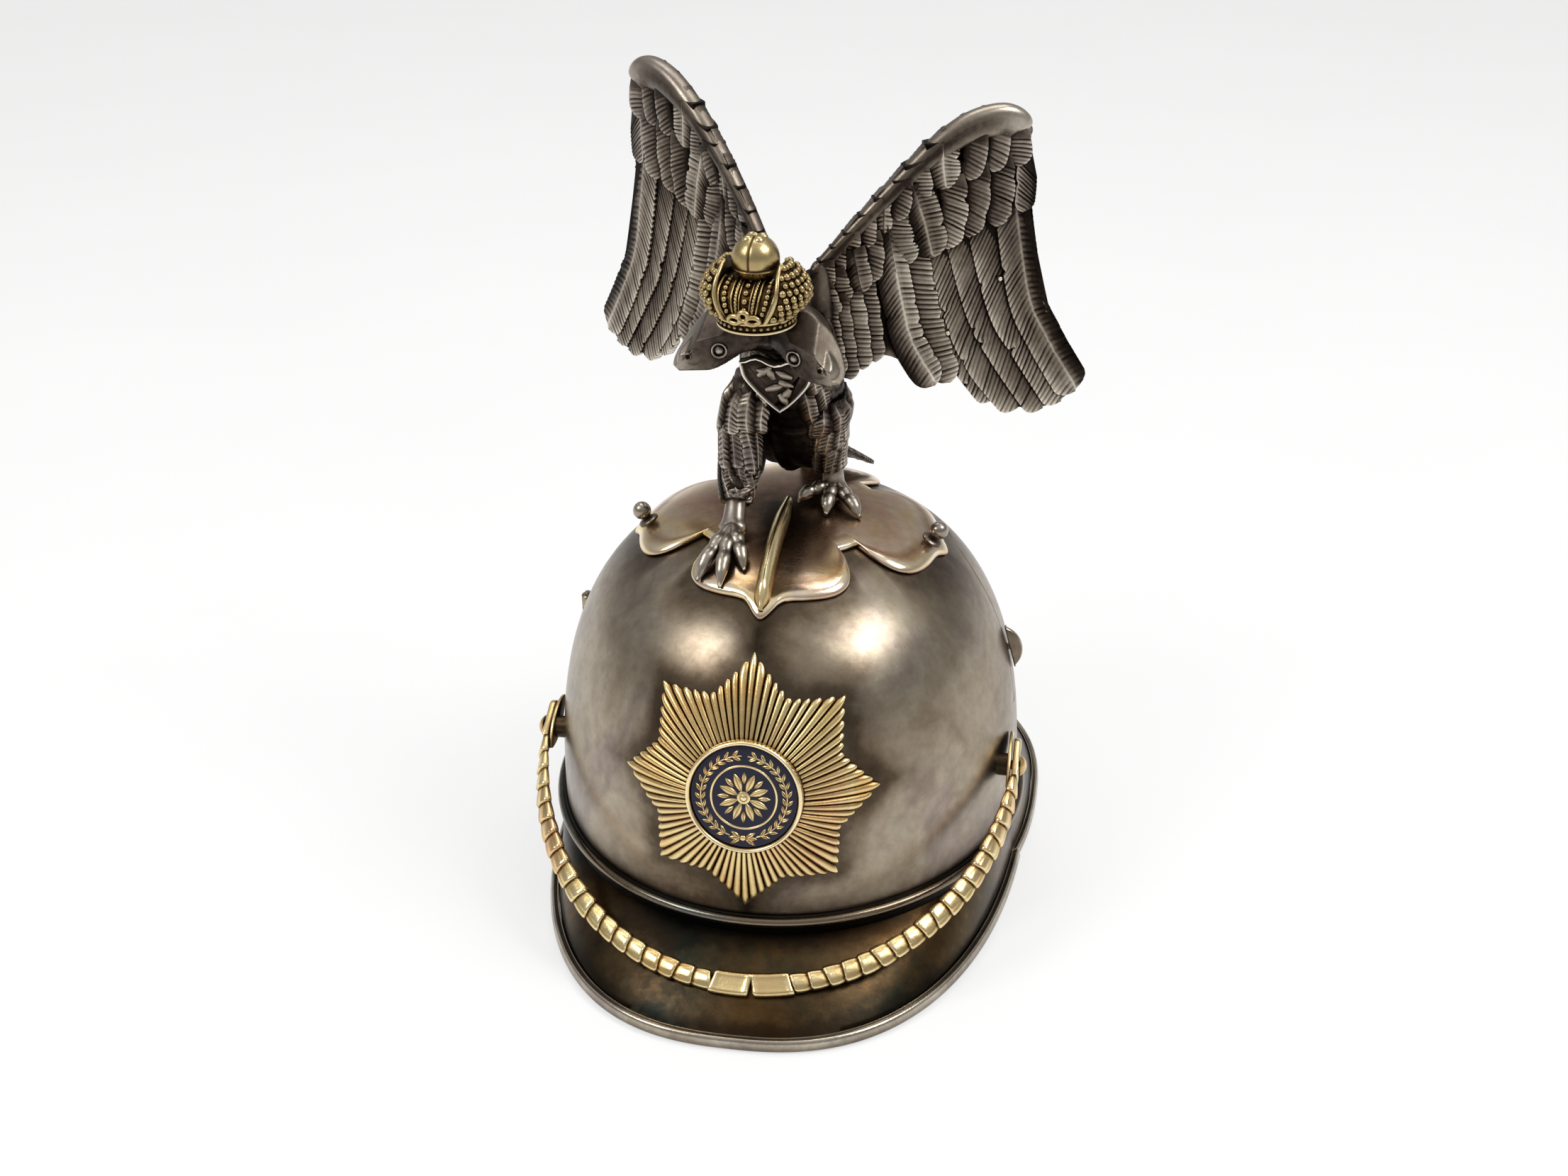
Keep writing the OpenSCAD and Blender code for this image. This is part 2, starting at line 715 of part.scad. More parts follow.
// Feet in the eagle's frame: the root of the toes, and the tips of the toes
left_foot = [-6, -14];
right_foot = [5.8, 4.2];
left_toes = [[-8.6, -24.2], [-4.4, -25.4], [-1.4, -21.8], [-7.6, -9.2]];
right_toes = [[6.6, -3.4], [12, -1.6], [0.8, -0.6], [5, 9.4]];

function eagle_spot(p) = [p[0] * cos(eagle_turn) + p[1] * sin(eagle_turn) + eagle_x,
    -p[0] * sin(eagle_turn) + p[1] * cos(eagle_turn)];
foot_spots = [eagle_spot(left_foot), eagle_spot(right_foot)];
// Height of the plate under a point of the eagle's frame
function ground(p) = let (w = eagle_spot(p)) plate_top(w[0], w[1]);

module eagle_frame() {
    translate([eagle_x, 0, 0])
        rotate([0, 0, -eagle_turn])
            children();
}

// Solid through ovals along a line of stations [centre, half width, half depth]
module limb(stations, side, n) {
    last = len(stations) - 1;
    rings = [for (i = [0:last])
        let (s = stations[i], along = unit(stations[min(last, i + 1)][0] - stations[max(0, i - 1)][0]),
            across = unit(side - (side * along) * along))
        oval(s[0], across * s[1], cross(along, across) * s[2], n)];
    skin(rings);
}

module toe(root, tip) {
    mid = mix(root, tip, 0.5);
    near = mix(root, tip, -0.08);
    limb([[[near[0], near[1], ground(near) + 1.6], 1, 1],
        [[mid[0], mid[1], ground(mid) + 1.35], 0.85, 0.9],
        [[mix(mid[0], tip[0], 0.6), mix(mid[1], tip[1], 0.6), ground(mix(mid, tip, 0.6)) + 1], 0.75, 0.8],
        [[tip[0], tip[1], ground(tip) + 0.55], 0.3, 0.35]], [0.7, 0.3, 0], 6);
}

module leg(hip, thigh, cuff, ankle, foot, toes) {
    root = [foot[0], foot[1], ground(foot) + 1.5];
    limb([[hip, 4.2, 4.6], [mix(hip, thigh, 0.5), 4.9, 5], [thigh, 4.6, 4.4],
        [mix(thigh, cuff, 0.6), 3.9, 3.6], [cuff, 2.9, 2.6], [mix(cuff, ankle, 0.5), 1.3, 1.3],
        [ankle, 1.1, 1.1], [mix(ankle, root, 0.6), 1.1, 1.1], [root, 1.4, 1.2]], [1, 0, 0], 10);
    for (tip = toes)
        toe(foot, tip);
}

spine = [[[0, 14.5, perch + 5.2], 2.6, 1.8], [[0, 10.5, perch + 9], 5, 3.9],
    [[0, 6, perch + 14.2], 6.8, 5.8], [[0, 1.6, perch + 20], 7.5, 6.6], [[0, -2.2, perch + 26], 7.2, 6.4],
    [[0, -5.2, perch + 31], 6.9, 5.4], [[0, -8.6, perch + 34.2], 5.8, 4.2],
    [[0, -12.2, perch + 35.6], 4.4, 2.9]];
back = [[[0, 4, perch + 20], 4, 3], [[0, 2, perch + 30], 4, 2.8], [[0, 0.2, perch + 37], 3.4, 2.2],
    [[0, -0.6, perch + 40.4], 2, 1.2]];
left_leg = [[-5.4, -0.6, perch + 19.5], [-7.4, -4, perch + 13], [-7.2, -8, perch + 6.2],
    [-6.6, -10.6, perch + 3.4]];
right_leg = [[4.4, 2.2, perch + 20], [4, 3.4, perch + 14], [4.6, 4.4, perch + 7.6],
    [5.4, 4.8, perch + 4.6]];

module head(s) {
    limb([[[s * 2.2, -9, perch + 33], 3.6, 3.2], [[s * 4.6, -12, perch + 34.7], 3.7, 3.3],
        [[s * 7, -14.5, perch + 35.3], 3.7, 3.3], [[s * 9.2, -16.8, perch + 35], 3.4, 3],
        [[s * 10.7, -18.4, perch + 34], 2.9, 2.6], [[s * 11.6, -19.6, perch + 32.6], 2, 1.9],
        [[s * 12, -20.4, perch + 31.6], 1, 1]], [s * 0.5, 0.6, 0.6], 10);
}

// Shoulder that reaches from the back to the root of a wing
module shoulder(s) {
    skin([wing_section(s, 0, -shoulder_len, 0.6), wing_section(s, 0, -0.6 * shoulder_len, 0.5),
        wing_section(s, 0, -seat, 0.25)]);
}

module eagle_body() {
    color(dark_silver)
        eagle_frame() {
            limb(spine, [1, 0, 0], 14);
            limb(back, [1, 0, 0], 10);
            leg(left_leg[0], left_leg[1], left_leg[2], left_leg[3], left_foot, left_toes);
            leg(right_leg[0], right_leg[1], right_leg[2], right_leg[3], right_foot, right_toes);
            for (s = [-1, 1]) {
                head(s);
                shoulder(s);
            }
        }
}

module eagle_tail() {
    steps = 6;
    root = [15.5, perch + 5.2];
    tip = [29, perch - 4];
    rings = [for (i = [0:steps])
        let (t = i / steps, y = mix(root[0], tip[0], t), z = mix(root[1], tip[1], t),
            w = mix(2.4, 6.6, pow(t, 0.8)))
        [for (k = [-3:3]) [k / 3 * w, y - 0.5 * abs(k) * t, z + 0.8 - 0.15 * abs(k)]]];
    color(dark_silver)
        eagle_frame()
            skin([for (r = rings) concat(r, [for (k = [6:-1:0]) r[k] - [0, 0, 1.3]])]);
}

// Wings. Their outlines are points [out along the wing, up from the perch]
bone_line = [[0.6, 41.2], [6.5, 47.3], [13.8, 54.6], [19.9, 60.2], [26, 64], [32, 65], [36, 62.9],
    [37.1, 58.6]];
feather_line = [[5.5, 21.8], [9, 23.4], [13, 25], [18, 22.4], [22.2, 19.6], [26.3, 20], [31.5, 15.7],
    [38, 13], [43.7, 13.7], [46, 17], [44.4, 24], [40.8, 32.5], [37.2, 41], [35.6, 49], [36.6, 54.6]];
wing_root_x = 2.5;
wing_steps = 44;
feather_lobe = 0.8;
feather_count = 15;
shoulder_len = 3;

// Point of a wing on the side s, at u along the bone, v from the bone to the feather tips,
// q out of the wing's plane and d along the wing from its root
function wing_point(s, u, v, q, d) =
    let (a = curve(bone_line, u), b = curve(feather_line, u),
        lobe = feather_lobe * (abs(sin(180 * u * feather_count)) - 0.6),
        far = b + unit(b - a) * lobe, p = mix(a, far, v),
        off = q - wing_camber * sin(180 * v) * (1 - 0.5 * u), out = p[0] + d,
        up = s < 0 ? wing_raise * min(1, p[0] / 14) * (1 - 0.4 * v) : 0)
    [s * (wing_root_x + out * cos(wing_sweep) + off * sin(wing_sweep)),
        out * sin(wing_sweep) - off * cos(wing_sweep),
        perch + p[1] + up];

function wing_section(s, u, d = 0, grow = 0) =
    let (chord = norm(curve(bone_line, u) - curve(feather_line, u)),
        swell = mix(0.8, 1.35, sin(min(90, 110 * u))), close = min(1, 1.6 * (1 - u) + 0.76),
        bone = wing_bone / 2 * swell * close,
        row = [[0, 0.45 * bone], [0.5, 0.9 * bone], [1.7, bone], [3.1, 0.7], [0.55 * chord, 0.6],
            [chord, 0.4]])
    concat([for (r = row) wing_point(s, u, min(1, r[0] / chord), r[1] + grow, d)],
        [for (i = [len(row) - 1:-1:0]) wing_point(s, u, min(1, row[i][0] / chord), -row[i][1] - grow, d)]);

module wing(s) {
    color(dark_silver)
        eagle_frame()
            skin([for (i = [0:wing_steps]) wing_section(s, i / wing_steps)]);
}

module wing_left() {
    wing(-1);
}

module wing_right() {
    wing(1);
}

// Breast shield
shield_lean = 16;
shield_at = [1.2, -11, perch + 26];
shield_thick = 1.2;

module shield_outline(inset) {
    w = shield_width / 2 - inset;
    h = shield_height - 2 * inset;
    top = shield_height / 2 - inset;
    polygon(concat([[-w, top], [0, top - 0.9], [w, top]],
        [for (i = [1:8]) let (t = i / 8) [w * pow(cos(90 * t), 0.75), top - h * (0.32 + 0.68 * t)]],
        [for (i = [7:-1:1]) let (t = i / 8) [-w * pow(cos(90 * t), 0.75), top - h * (0.32 + 0.68 * t)]]));
}

module breast_shield() {
    color(dark_silver)
        eagle_frame()
            translate(shield_at)
                rotate([90 + shield_lean, 0, 0])
                    difference() {
                        linear_extrude(shield_thick)
                            shield_outline(0);
                        translate([0, 0, shield_thick - 0.35])
                            linear_extrude(1)
                                shield_outline(0.8);
                    }
}

// Crown, which stands on the two heads
crown_at = [0, -17.8, perch + 38.4];
cap_half = 3.8;
cap_depth = crown_r - 0.25;
orb_z = crown_band_h + seat + cap_h + orb_r + 0.05;
lobe_r = 0.75;

module at_crown() {
    eagle_frame()
        translate(crown_at)
            children();
}

// Leaf of four round lobes on the band's edge, each [turn round the band, height above the edge]
module band_leaf() {
    for (lobe = [[0, -0.1], [-9.6, -0.15], [9.6, -0.15], [0, 0.9]])
        rotate([0, 0, lobe[0]])
            translate([0, 0.15 - crown_r, crown_band_h + lobe[1]])
                rotate([90, 0, 0])
                    cylinder(r = lobe_r, h = 0.8, $fn = round_fn);
}

module crown_band() {
    rim = 0.45;
    color(gilt)
        at_crown() {
            rotate_extrude($fn = round_fn)
                polygon([[0, 0], [crown_r - 0.2, 0], [crown_r, 0.2], [crown_r, rim],
                    [crown_r - 0.2, rim + 0.15],
                    [crown_r - 0.2, crown_band_h - rim - 0.15], [crown_r, crown_band_h - rim],
                    [crown_r, crown_band_h - 0.2], [crown_r - 0.2, crown_band_h], [0, crown_band_h]]);
            for (a = [0, 180])
                rotate([0, 0, a])
                    band_leaf();
        }
}

module crown_cap() {
    steps = 12;
    top_half = 1.6;
    // Side of the cap: it bulges above the band and closes in under the orb
    side = [for (i = [0:steps])
        let (a = mix(-25, 90, i / steps))
        [top_half + (cap_depth - top_half) * cos(a), cap_h * (sin(a) + sin(25)) / (1 + sin(25))]];
    color(gilt)
        at_crown()
            translate([0, 0, crown_band_h + seat])
                rotate([90, 0, 90])
                    linear_extrude(2 * cap_half, center = true)
                        polygon(concat(side, [for (i = [steps:-1:0]) [-side[i][0], side[i][1]]]));
}

// Ring of a side half of the crown: a flat inner side and a round outer side
function mitre_ring(s, t) =
    let (z = crown_band_h + seat + mitre_h * t,
        out = t < 0.4 ? mix(crown_r - 0.2, mitre_half, sin(225 * t))
            : mix(cap_half + 1.1, mitre_half, cos(150 * (t - 0.4))),
        deep = (cap_depth - 0.1) * pow(max(0.05, 1 - pow(t, 2.6)), 0.5))
    [for (i = [0:9])
        let (a = mix(-90, 90, i / 9))
        [s * (cap_half + seat + (out - cap_half) * cos(a)), deep * sin(a), z]];

module crown_mitres() {
    color(gilt)
        at_crown()
            for (s = [-1, 1])
                skin([for (i = [0:8]) mitre_ring(s, i / 8)]);
}

module crown_orb() {
    bud = 0.55;
    color(gilt)
        at_crown()
            translate([0, 0, orb_z]) {
                sphere(orb_r, $fn = round_fn);
                translate([0, 0, -0.9])
                    cylinder(r = orb_r + 0.05, h = 0.45, $fn = round_fn);
                for (a = [0:90:270])
                    rotate([0, 0, a])
                        translate([0.95, 0, orb_r - 0.25])
                            sphere(bud, $fn = small_fn);
                translate([0, 0, orb_r - 0.05])
                    sphere(bud, $fn = small_fn);
            }
}

// Studs under the feet, with their nuts inside the skull

foot_stud_low = 5.4;

module foot_studs() {
    color(dark_silver)
        for (p = foot_spots) {
            top = plate_top(p[0], p[1]) + 0.2;
            low = skull_z(p[0], p[1], 0) - foot_stud_low;
            translate([p[0], p[1], low])
                cylinder(r = foot_stud_r, h = top - low, $fn = round_fn);
        }
}

module foot_nuts() {
    color(silver)
        for (p = foot_spots)
            translate([p[0], p[1], skull_z(p[0], p[1], 0) - foot_stud_low + 0.8])
                difference() {
                    cylinder(r = 2, h = 1.6, $fn = nut_sides);
                    translate([0, 0, -1])
                        cylinder(r = foot_stud_r + snug, h = 4, $fn = round_fn);
                }
}

// Bosses and rivets that carry the chin chain

bush_in = 1.8;
plate_off = 1.25;
boss_thick = 0.6;
link_off = plate_off + boss_thick + 0.2;
link_thick = 1.2;
head_off = link_off + link_thick + 0.2;

module at_boss(s) {
    translate([s * boss_x, pivot_y, pivot_z])
        rotate([0, s * 90, 0])
            children();
}

// Puts the children beside a pivot, seen from the side and leaning like the chain, off the boss by d
module beside_pivot(s, d) {
    translate([s * (boss_x + d), pivot_y, pivot_z])
        rotate([chain_lean, 0, 0])
            rotate([90, 0, 90])
                children();
}

// Leaf from -front to back along x, with the half width w, rounded to its ends
function leaf(front, back, w, round_end) = [for (i = [0:19])
    let (t = i <= 10 ? i / 10 : 2 - i / 10, side = i <= 10 ? 1 : -1)
    [mix(-front, back, t), side * w * pow(sin(180 * t), round_end)]];

module boss_bushes() {
    color(gilt)
        for (s = [-1, 1])
            at_boss(s)
                translate([0, 0, -bush_in])
                    difference() {
                        cylinder(r = bush_r, h = bush_in + plate_off - 0.02, $fn = round_fn);
                        translate([0, 0, -1])
                            cylinder(r = rivet_r + snug, h = 6, $fn = round_fn);
                    }
}

module boss_plates() {
    color(gilt)
        for (s = [-1, 1])
            beside_pivot(s, plate_off + boss_thick / 2)
                linear_extrude(boss_thick, center = true)
                    difference() {
                        polygon(leaf(boss_leaf_front, boss_leaf_back, boss_leaf_half, 0.7));
                        circle(rivet_r + snug, $fn = round_fn);
                    }
}

module chin_rivets() {
    head_r = 1.75;
    head_h = 1;
    ball = (head_r * head_r + head_h * head_h) / (2 * head_h);
    color(gilt)
        for (s = [-1, 1])
            at_boss(s) {
                translate([0, 0, -bush_in - 0.75])
                    cylinder(r = 1.5, h = 0.7, $fn = round_fn);
                translate([0, 0, -bush_in - 0.5])
                    cylinder(r = rivet_r, h = bush_in + 0.5 + head_off + 0.3, $fn = round_fn);
                translate([0, 0, head_off])
                    intersection() {
                        translate([0, 0, head_h - ball])
                            sphere(ball, $fn = round_fn);
                        cylinder(r = head_r + 1, h = head_h + 1, $fn = round_fn);
                    }
            }
}

// Chin chain: half of an ellipse in a plane that leans forward from the pivots

chain_half_width = boss_x + link_off + link_thick / 2;
chain_rest = 0.3;
chain_back = 0.5;
chain_twist = 74;
link_len = 2.8;
link_back = 5;
first_angle = asin((link_len + 0.1) / chain_reach);
joint_x = 2.4;
clasp_len = 6.4;

// Height of the visor on the middle line, at the distance y in front
function visor_height(y) =
    let (u = (y - skull_front - band_out) / (visor_reach - trim_width - band_out))
    mix(brim_top, trim_height - brim_seat, u) + visor_bulge * sin(180 * u);
// Downward lean at which the middle of the chain rests just over the visor, in k steps
function lean_step(lean, k) =
    let (under = 1.15 * (chain_rest + chain_back),
        drop = pivot_z - visor_height(pivot_front + chain_reach * cos(lean)) - under)
    k == 0 ? lean : lean_step(asin(drop / chain_reach), k - 1);
chain_lean = lean_step(24, 8);
chain_down = [0, -cos(chain_lean), -sin(chain_lean)];
chain_up = [0, -sin(chain_lean), cos(chain_lean)];

function chain_point(s, f) =
    [s * chain_half_width * cos(f), pivot_y, pivot_z] + chain_reach * sin(f) * chain_down;
function chain_along(s, f) =
    unit([-s * chain_half_width * sin(f), 0, 0] + chain_reach * cos(f) * chain_down);
// Direction in which the chain's face looks at the angle f
function chain_face(s, f) =
    let (g = chain_twist * abs(sin(f)),
        out = unit([s * chain_reach * cos(f), 0, 0] + chain_half_width * sin(f) * chain_down))
    unit(out * cos(g) + chain_up * sin(g));
chain_section = [[-0.5, 0.15], [-0.24, 1], [0.24, 1], [0.5, 0.15]];
function chain_ring(s, f, w, low, high) =
    let (c = chain_point(s, f), n = chain_face(s, f), b = cross(chain_along(s, f), n))
    concat([for (k = chain_section) c + b * k[0] * w + n * (k[1] == 1 ? high : k[1])],
        [for (k = [0.5, 0.24, -0.24, -0.5]) c + b * k * w - n * low]);

module chin_scales(s, last) {
    angles = steps_between(first_angle, last, chain_scales);
    rings = [for (i = [0:chain_scales - 1])
        each [chain_ring(s, angles[i] + 0.06, chain_width * 0.92, chain_back, 0.5),
            chain_ring(s, angles[i + 1] - 0.06, chain_width, chain_back, 1.05)]];
    color(gilt)
        skin(rings);
}

module chin_clasp(s, from, to) {
    color(gilt)
        skin([for (f = steps_between(from, to, 4)) chain_ring(s, f, chain_width * 1.08, chain_back, 0.95)]);
}

left_last = acos((clasp_len - joint_x) / chain_half_width);
right_last = acos((clasp_len + joint_x) / chain_half_width);

module chin_scales_left() {
    chin_scales(-1, left_last);
}

module chin_scales_right() {
    chin_scales(1, right_last);
}

module chin_clasp_left() {
    chin_clasp(-1, left_last + 0.06, 90 + asin((joint_x - 0.1) / chain_half_width));
}

module chin_clasp_right() {
    chin_clasp(1, right_last + 0.06, acos((joint_x + 0.1) / chain_half_width));
}

module chin_link(s) {
    w = chain_width / 2;
    side = [[-link_len, 0.9 * w], [-0.5 * link_len, w], [0.3 * link_back, w], [0.65 * link_back, 0.85 * w],
        [0.88 * link_back, 0.5 * w], [link_back, 0.15 * w]];
    color(gilt)
        beside_pivot(s, link_off + link_thick / 2)
            linear_extrude(link_thick, center = true)
                difference() {
                    polygon(concat(side, [for (i = [len(side) - 1:-1:0]) [side[i][0], -side[i][1]]]));
                    circle(rivet_r + running_gap, $fn = round_fn);
                }
}

module chin_link_left() {
    chin_link(-1);
}

module chin_link_right() {
    chin_link(1);
}

skull();
base_band();
base_plate();
visor();
visor_trim();
neck_guard();
neck_guard_trim();
rear_door();
thumb_piece();
hinge_pin();
star_badge();
medallion_cup();
enamel_disc();
medallion_motif();
star_pins();
star_nuts();
crest_plate();
crest_keel();
ball_studs();
ball_stud_nuts();
eagle_body();
eagle_tail();
wing_left();
wing_right();
breast_shield();
crown_band();
crown_cap();
crown_mitres();
crown_orb();
foot_studs();
foot_nuts();
boss_bushes();
boss_plates();
chin_rivets();
chin_link_left();
chin_link_right();
chin_scales_left();
chin_scales_right();
chin_clasp_left();
chin_clasp_right();
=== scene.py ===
import math
import random

import bmesh
import bpy
import numpy as np
from mathutils import Matrix, Vector
from mathutils.bvhtree import BVHTree


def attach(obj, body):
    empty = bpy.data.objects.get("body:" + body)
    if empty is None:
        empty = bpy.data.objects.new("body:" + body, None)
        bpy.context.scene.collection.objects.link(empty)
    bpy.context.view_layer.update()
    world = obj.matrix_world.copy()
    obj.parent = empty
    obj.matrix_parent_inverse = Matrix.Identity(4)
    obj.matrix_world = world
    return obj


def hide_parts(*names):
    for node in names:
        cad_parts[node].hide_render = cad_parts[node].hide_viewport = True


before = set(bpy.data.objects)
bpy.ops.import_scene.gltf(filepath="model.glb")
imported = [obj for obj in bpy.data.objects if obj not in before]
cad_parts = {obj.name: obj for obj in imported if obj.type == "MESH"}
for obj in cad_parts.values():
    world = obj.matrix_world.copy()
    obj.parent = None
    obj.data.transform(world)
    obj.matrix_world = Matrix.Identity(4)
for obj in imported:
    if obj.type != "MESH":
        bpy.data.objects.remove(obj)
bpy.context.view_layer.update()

# Silver and silver-gilt parade helmet. Lengths here are in millimetres, and build() turns them into metres.
MM = 0.001
rng = random.Random(7)


# Numbers and vectors

def unit(v):
    v = np.asarray(v, float)
    return v / np.maximum(np.linalg.norm(v, axis=-1, keepdims=True), 1e-12)


def mix(a, b, t):
    return a + (b - a) * t


def spow(v, e):
    return np.sign(v) * np.abs(v) ** e


def smooth(a, b, x):
    """0 below a, 1 above b, and a soft step between them"""
    t = np.clip((np.asarray(x, float) - a) / (b - a), 0, 1)
    return t * t * (3 - 2 * t)


def bump(x, width):
    return np.exp(-(np.asarray(x, float) / width) ** 2)


def cosd(a):
    return np.cos(np.radians(a))


def sind(a):
    return np.sin(np.radians(a))


def curve(pts, t):
    """Point on a smooth curve through the given points, t from 0 to 1"""
    pts = np.asarray(pts, float)
    last = len(pts) - 1
    s = np.clip(np.asarray(t, float) * last, 0, last - 1e-4)
    i = np.floor(s).astype(int)
    f = (s - i)[..., None]
    p1, p2 = pts[i], pts[i + 1]
    p0 = np.where((i > 0)[..., None], pts[np.maximum(i - 1, 0)], 2 * p1 - p2)
    p3 = np.where((i + 2 <= last)[..., None], pts[np.minimum(i + 2, last)], 2 * p2 - p1)
    return 0.5 * (2 * p1 + (p2 - p0) * f + (2 * p0 - 5 * p1 + 4 * p2 - p3) * f ** 2
                  + (3 * p1 - p0 - 3 * p2 + p3) * f ** 3)


def along_path(pts, n):
    """n points spread evenly along a smooth curve through pts"""
    dense = curve(pts, np.linspace(0, 1, 400))
    run = np.concatenate([[0], np.cumsum(np.linalg.norm(np.diff(dense, axis=0), axis=1))])
    want = np.linspace(0, run[-1], n)
    return np.stack([np.interp(want, run, dense[:, k]) for k in range(dense.shape[1])], -1)


def turns(n):
    """n angles in radians, evenly round a circle"""
    return np.linspace(0, 2 * np.pi, n, endpoint=False)


def degrees_round(n):
    return np.linspace(0, 360, n, endpoint=False)


def framed(at, x, y, z):
    """Placing function of a frame at a point, with the given axes"""
    return lambda p: at + p[..., :1] * x + p[..., 1:2] * y + p[..., 2:3] * z


def rings_round(middles, wide, deep, n):
    """Rings of n points round the middles, one for each, with the half axes wide and deep"""
    a = turns(n)[:, None]
    return middles[:, None] + wide[:, None] * np.cos(a) + deep[:, None] * np.sin(a)


# Meshes

def grid_faces(rows, cols, wrap=False, close=False, start=0):
    """Quads of a rows x cols grid; wrap joins its last column to its first, close its last row"""
    faces = []
    for i in range(rows if close else rows - 1):
        here, ahead = start + i * cols, start + (i + 1) % rows * cols
        for j in range(cols if wrap else cols - 1):
            m = (j + 1) % cols
            faces.append((here + j, here + m, ahead + m, ahead + j))
    return faces


class Shape:
    """Mesh under way: points in millimetres, faces, and the wear of each point from 0, recess, to 1, edge,
    which in places also holds painted highlights and painted shade
    """

    def __init__(self):
        self.points = []
        self.faces = []
        self.wear_and_shading = []
        self.count = 0

    def add(self, points, faces, wear_and_shading=0.5):
        points = np.asarray(points, float).reshape(-1, 3)
        self.faces += [tuple(int(k) + self.count for k in face) for face in faces]
        self.points.append(points)
        self.wear_and_shading.append(np.broadcast_to(np.asarray(wear_and_shading, float).reshape(-1), (len(points),)))
        self.count += len(points)

    def tube(self, rings, wear_and_shading=0.5, close=False):
        """Closed solid through rings of points, with one wear for all, for each ring or for each point"""
        rings = np.asarray(rings, float)
        m, n = rings.shape[:2]
        faces = grid_faces(m, n, wrap=True, close=close)
        if not close:
            faces.append(tuple(range(n - 1, -1, -1)))
            faces.append(tuple((m - 1) * n + k for k in range(n)))
        self.add(rings, faces, np.repeat(wear_and_shading, n) if np.size(wear_and_shading) == m else wear_and_shading)

    def slab(self, top, bottom, wear_and_shading=0.5):
        """Closed solid between two rows x cols sheets of points"""
        rows, cols = top.shape[:2]
        n = rows * cols
        faces = grid_faces(rows, cols)
        faces += [tuple(n + k for k in reversed(f)) for f in faces]
        number = np.arange(n).reshape(rows, cols)
        rim = [*number[0], *number[1:, -1], *number[-1, -2::-1], *number[-2:0:-1, 0]]
        faces += [(b, a, n + a, n + b) for a, b in zip(rim, rim[1:] + rim[:1])]
        both = np.tile(np.broadcast_to(wear_and_shading, (rows, cols)).reshape(-1), 2)
        self.add(np.concatenate([top.reshape(-1, 3), bottom.reshape(-1, 3)]), faces, both)

    def lathe(self, section, frame_of, n=64, wear_and_shading=0.5):
        """Solid of revolution: section is a list of [radius, height], and frame_of places the points"""
        r, z = np.asarray(section, float).T[..., None]
        a = turns(n)
        self.tube(frame_of(np.stack([r * np.cos(a), r * np.sin(a), z + 0 * a], -1)), wear_and_shading)

    def plate(self, outline, heights, insets, frame_of, wear_and_shading=0.5):
        """Solid over an outline of [x, y], with the outline drawn in by each inset at each height"""
        outline = np.asarray(outline, float)
        after = np.roll(outline, -1, 0)
        step = after - np.roll(outline, 1, 0)
        area = np.sum(outline[:, 0] * after[:, 1] - after[:, 0] * outline[:, 1])
        side = unit(np.stack([step[:, 1], -step[:, 0]], -1)) * np.sign(area)
        rings = [np.column_stack([outline - side * inset, np.full(len(outline), h)])
                 for h, inset in zip(heights, insets)]
        self.tube(frame_of(np.asarray(rings)), wear_and_shading)


def finish_mesh(mesh, sharp):
    """Merges doubled points, turns the faces outwards and keeps edges over the angle sharp"""
    work = bmesh.new()
    work.from_mesh(mesh)
    bmesh.ops.remove_doubles(work, verts=work.verts, dist=0.001 * MM)
    bmesh.ops.dissolve_degenerate(work, edges=work.edges, dist=0.0005 * MM)
    bmesh.ops.recalc_face_normals(work, faces=work.faces)
    work.to_mesh(mesh)
    work.free()
    mesh.polygons.foreach_set("use_smooth", [True] * len(mesh.polygons))
    mesh.set_sharp_from_angle(angle=math.radians(sharp))
    mesh.update()


def mesh_values(mesh, kind="co"):
    """Places of a mesh's points in metres, or their normals"""
    values = np.empty(len(mesh.vertices) * 3)
    mesh.vertices.foreach_get(kind, values)
    return values.reshape(-1, 3)


def set_wear_and_shading(mesh, values):
    wear_and_shading = mesh.attributes.new("wear_and_shading", "FLOAT", "POINT")
    wear_and_shading.data.foreach_set("value", values)


def raw_object(shape, name):
    mesh = bpy.data.meshes.new(name)
    mesh.from_pydata((np.concatenate(shape.points) * MM).tolist(), [], shape.faces)
    set_wear_and_shading(mesh, np.concatenate(shape.wear_and_shading))
    obj = bpy.data.objects.new(name, mesh)
    bpy.context.scene.collection.objects.link(obj)
    return obj


def solid(shape, name, sharp):
    obj = raw_object(shape, name)
    finish_mesh(obj.data, sharp)
    return obj


def dress(obj, material, body, nodes=()):
    """Gives a finished piece its material and its body, and hides the nodes it stands for"""
    obj.data.materials.clear()
    obj.data.materials.append(material)
    if nodes:
        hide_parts(*nodes)
    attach(obj, body)
    return obj


def build(shape, name, material, body="helmet", nodes=(), sharp=38):
    return dress(solid(shape, name, sharp), material, body, nodes)


def apply_modifiers(obj):
    shown = obj.evaluated_get(bpy.context.evaluated_depsgraph_get())
    mesh = bpy.data.meshes.new_from_object(shown)
    obj.modifiers.clear()
    old = obj.data
    obj.data = mesh
    bpy.data.meshes.remove(old)


def discard(obj):
    bpy.data.objects.remove(obj, do_unlink=True)


def carve(obj, tool, operation):
    change = obj.modifiers.new("carve", "BOOLEAN")
    change.operation = operation
    change.solver = "EXACT"
    change.object = tool
    apply_modifiers(obj)


def join_into(target, other):
    """Adds the mesh of one object to another, wear included"""
    work = bmesh.new()
    work.from_mesh(target.data)
    work.from_mesh(other.data)
    work.to_mesh(target.data)
    work.free()
    target.data.update()
    discard(other)


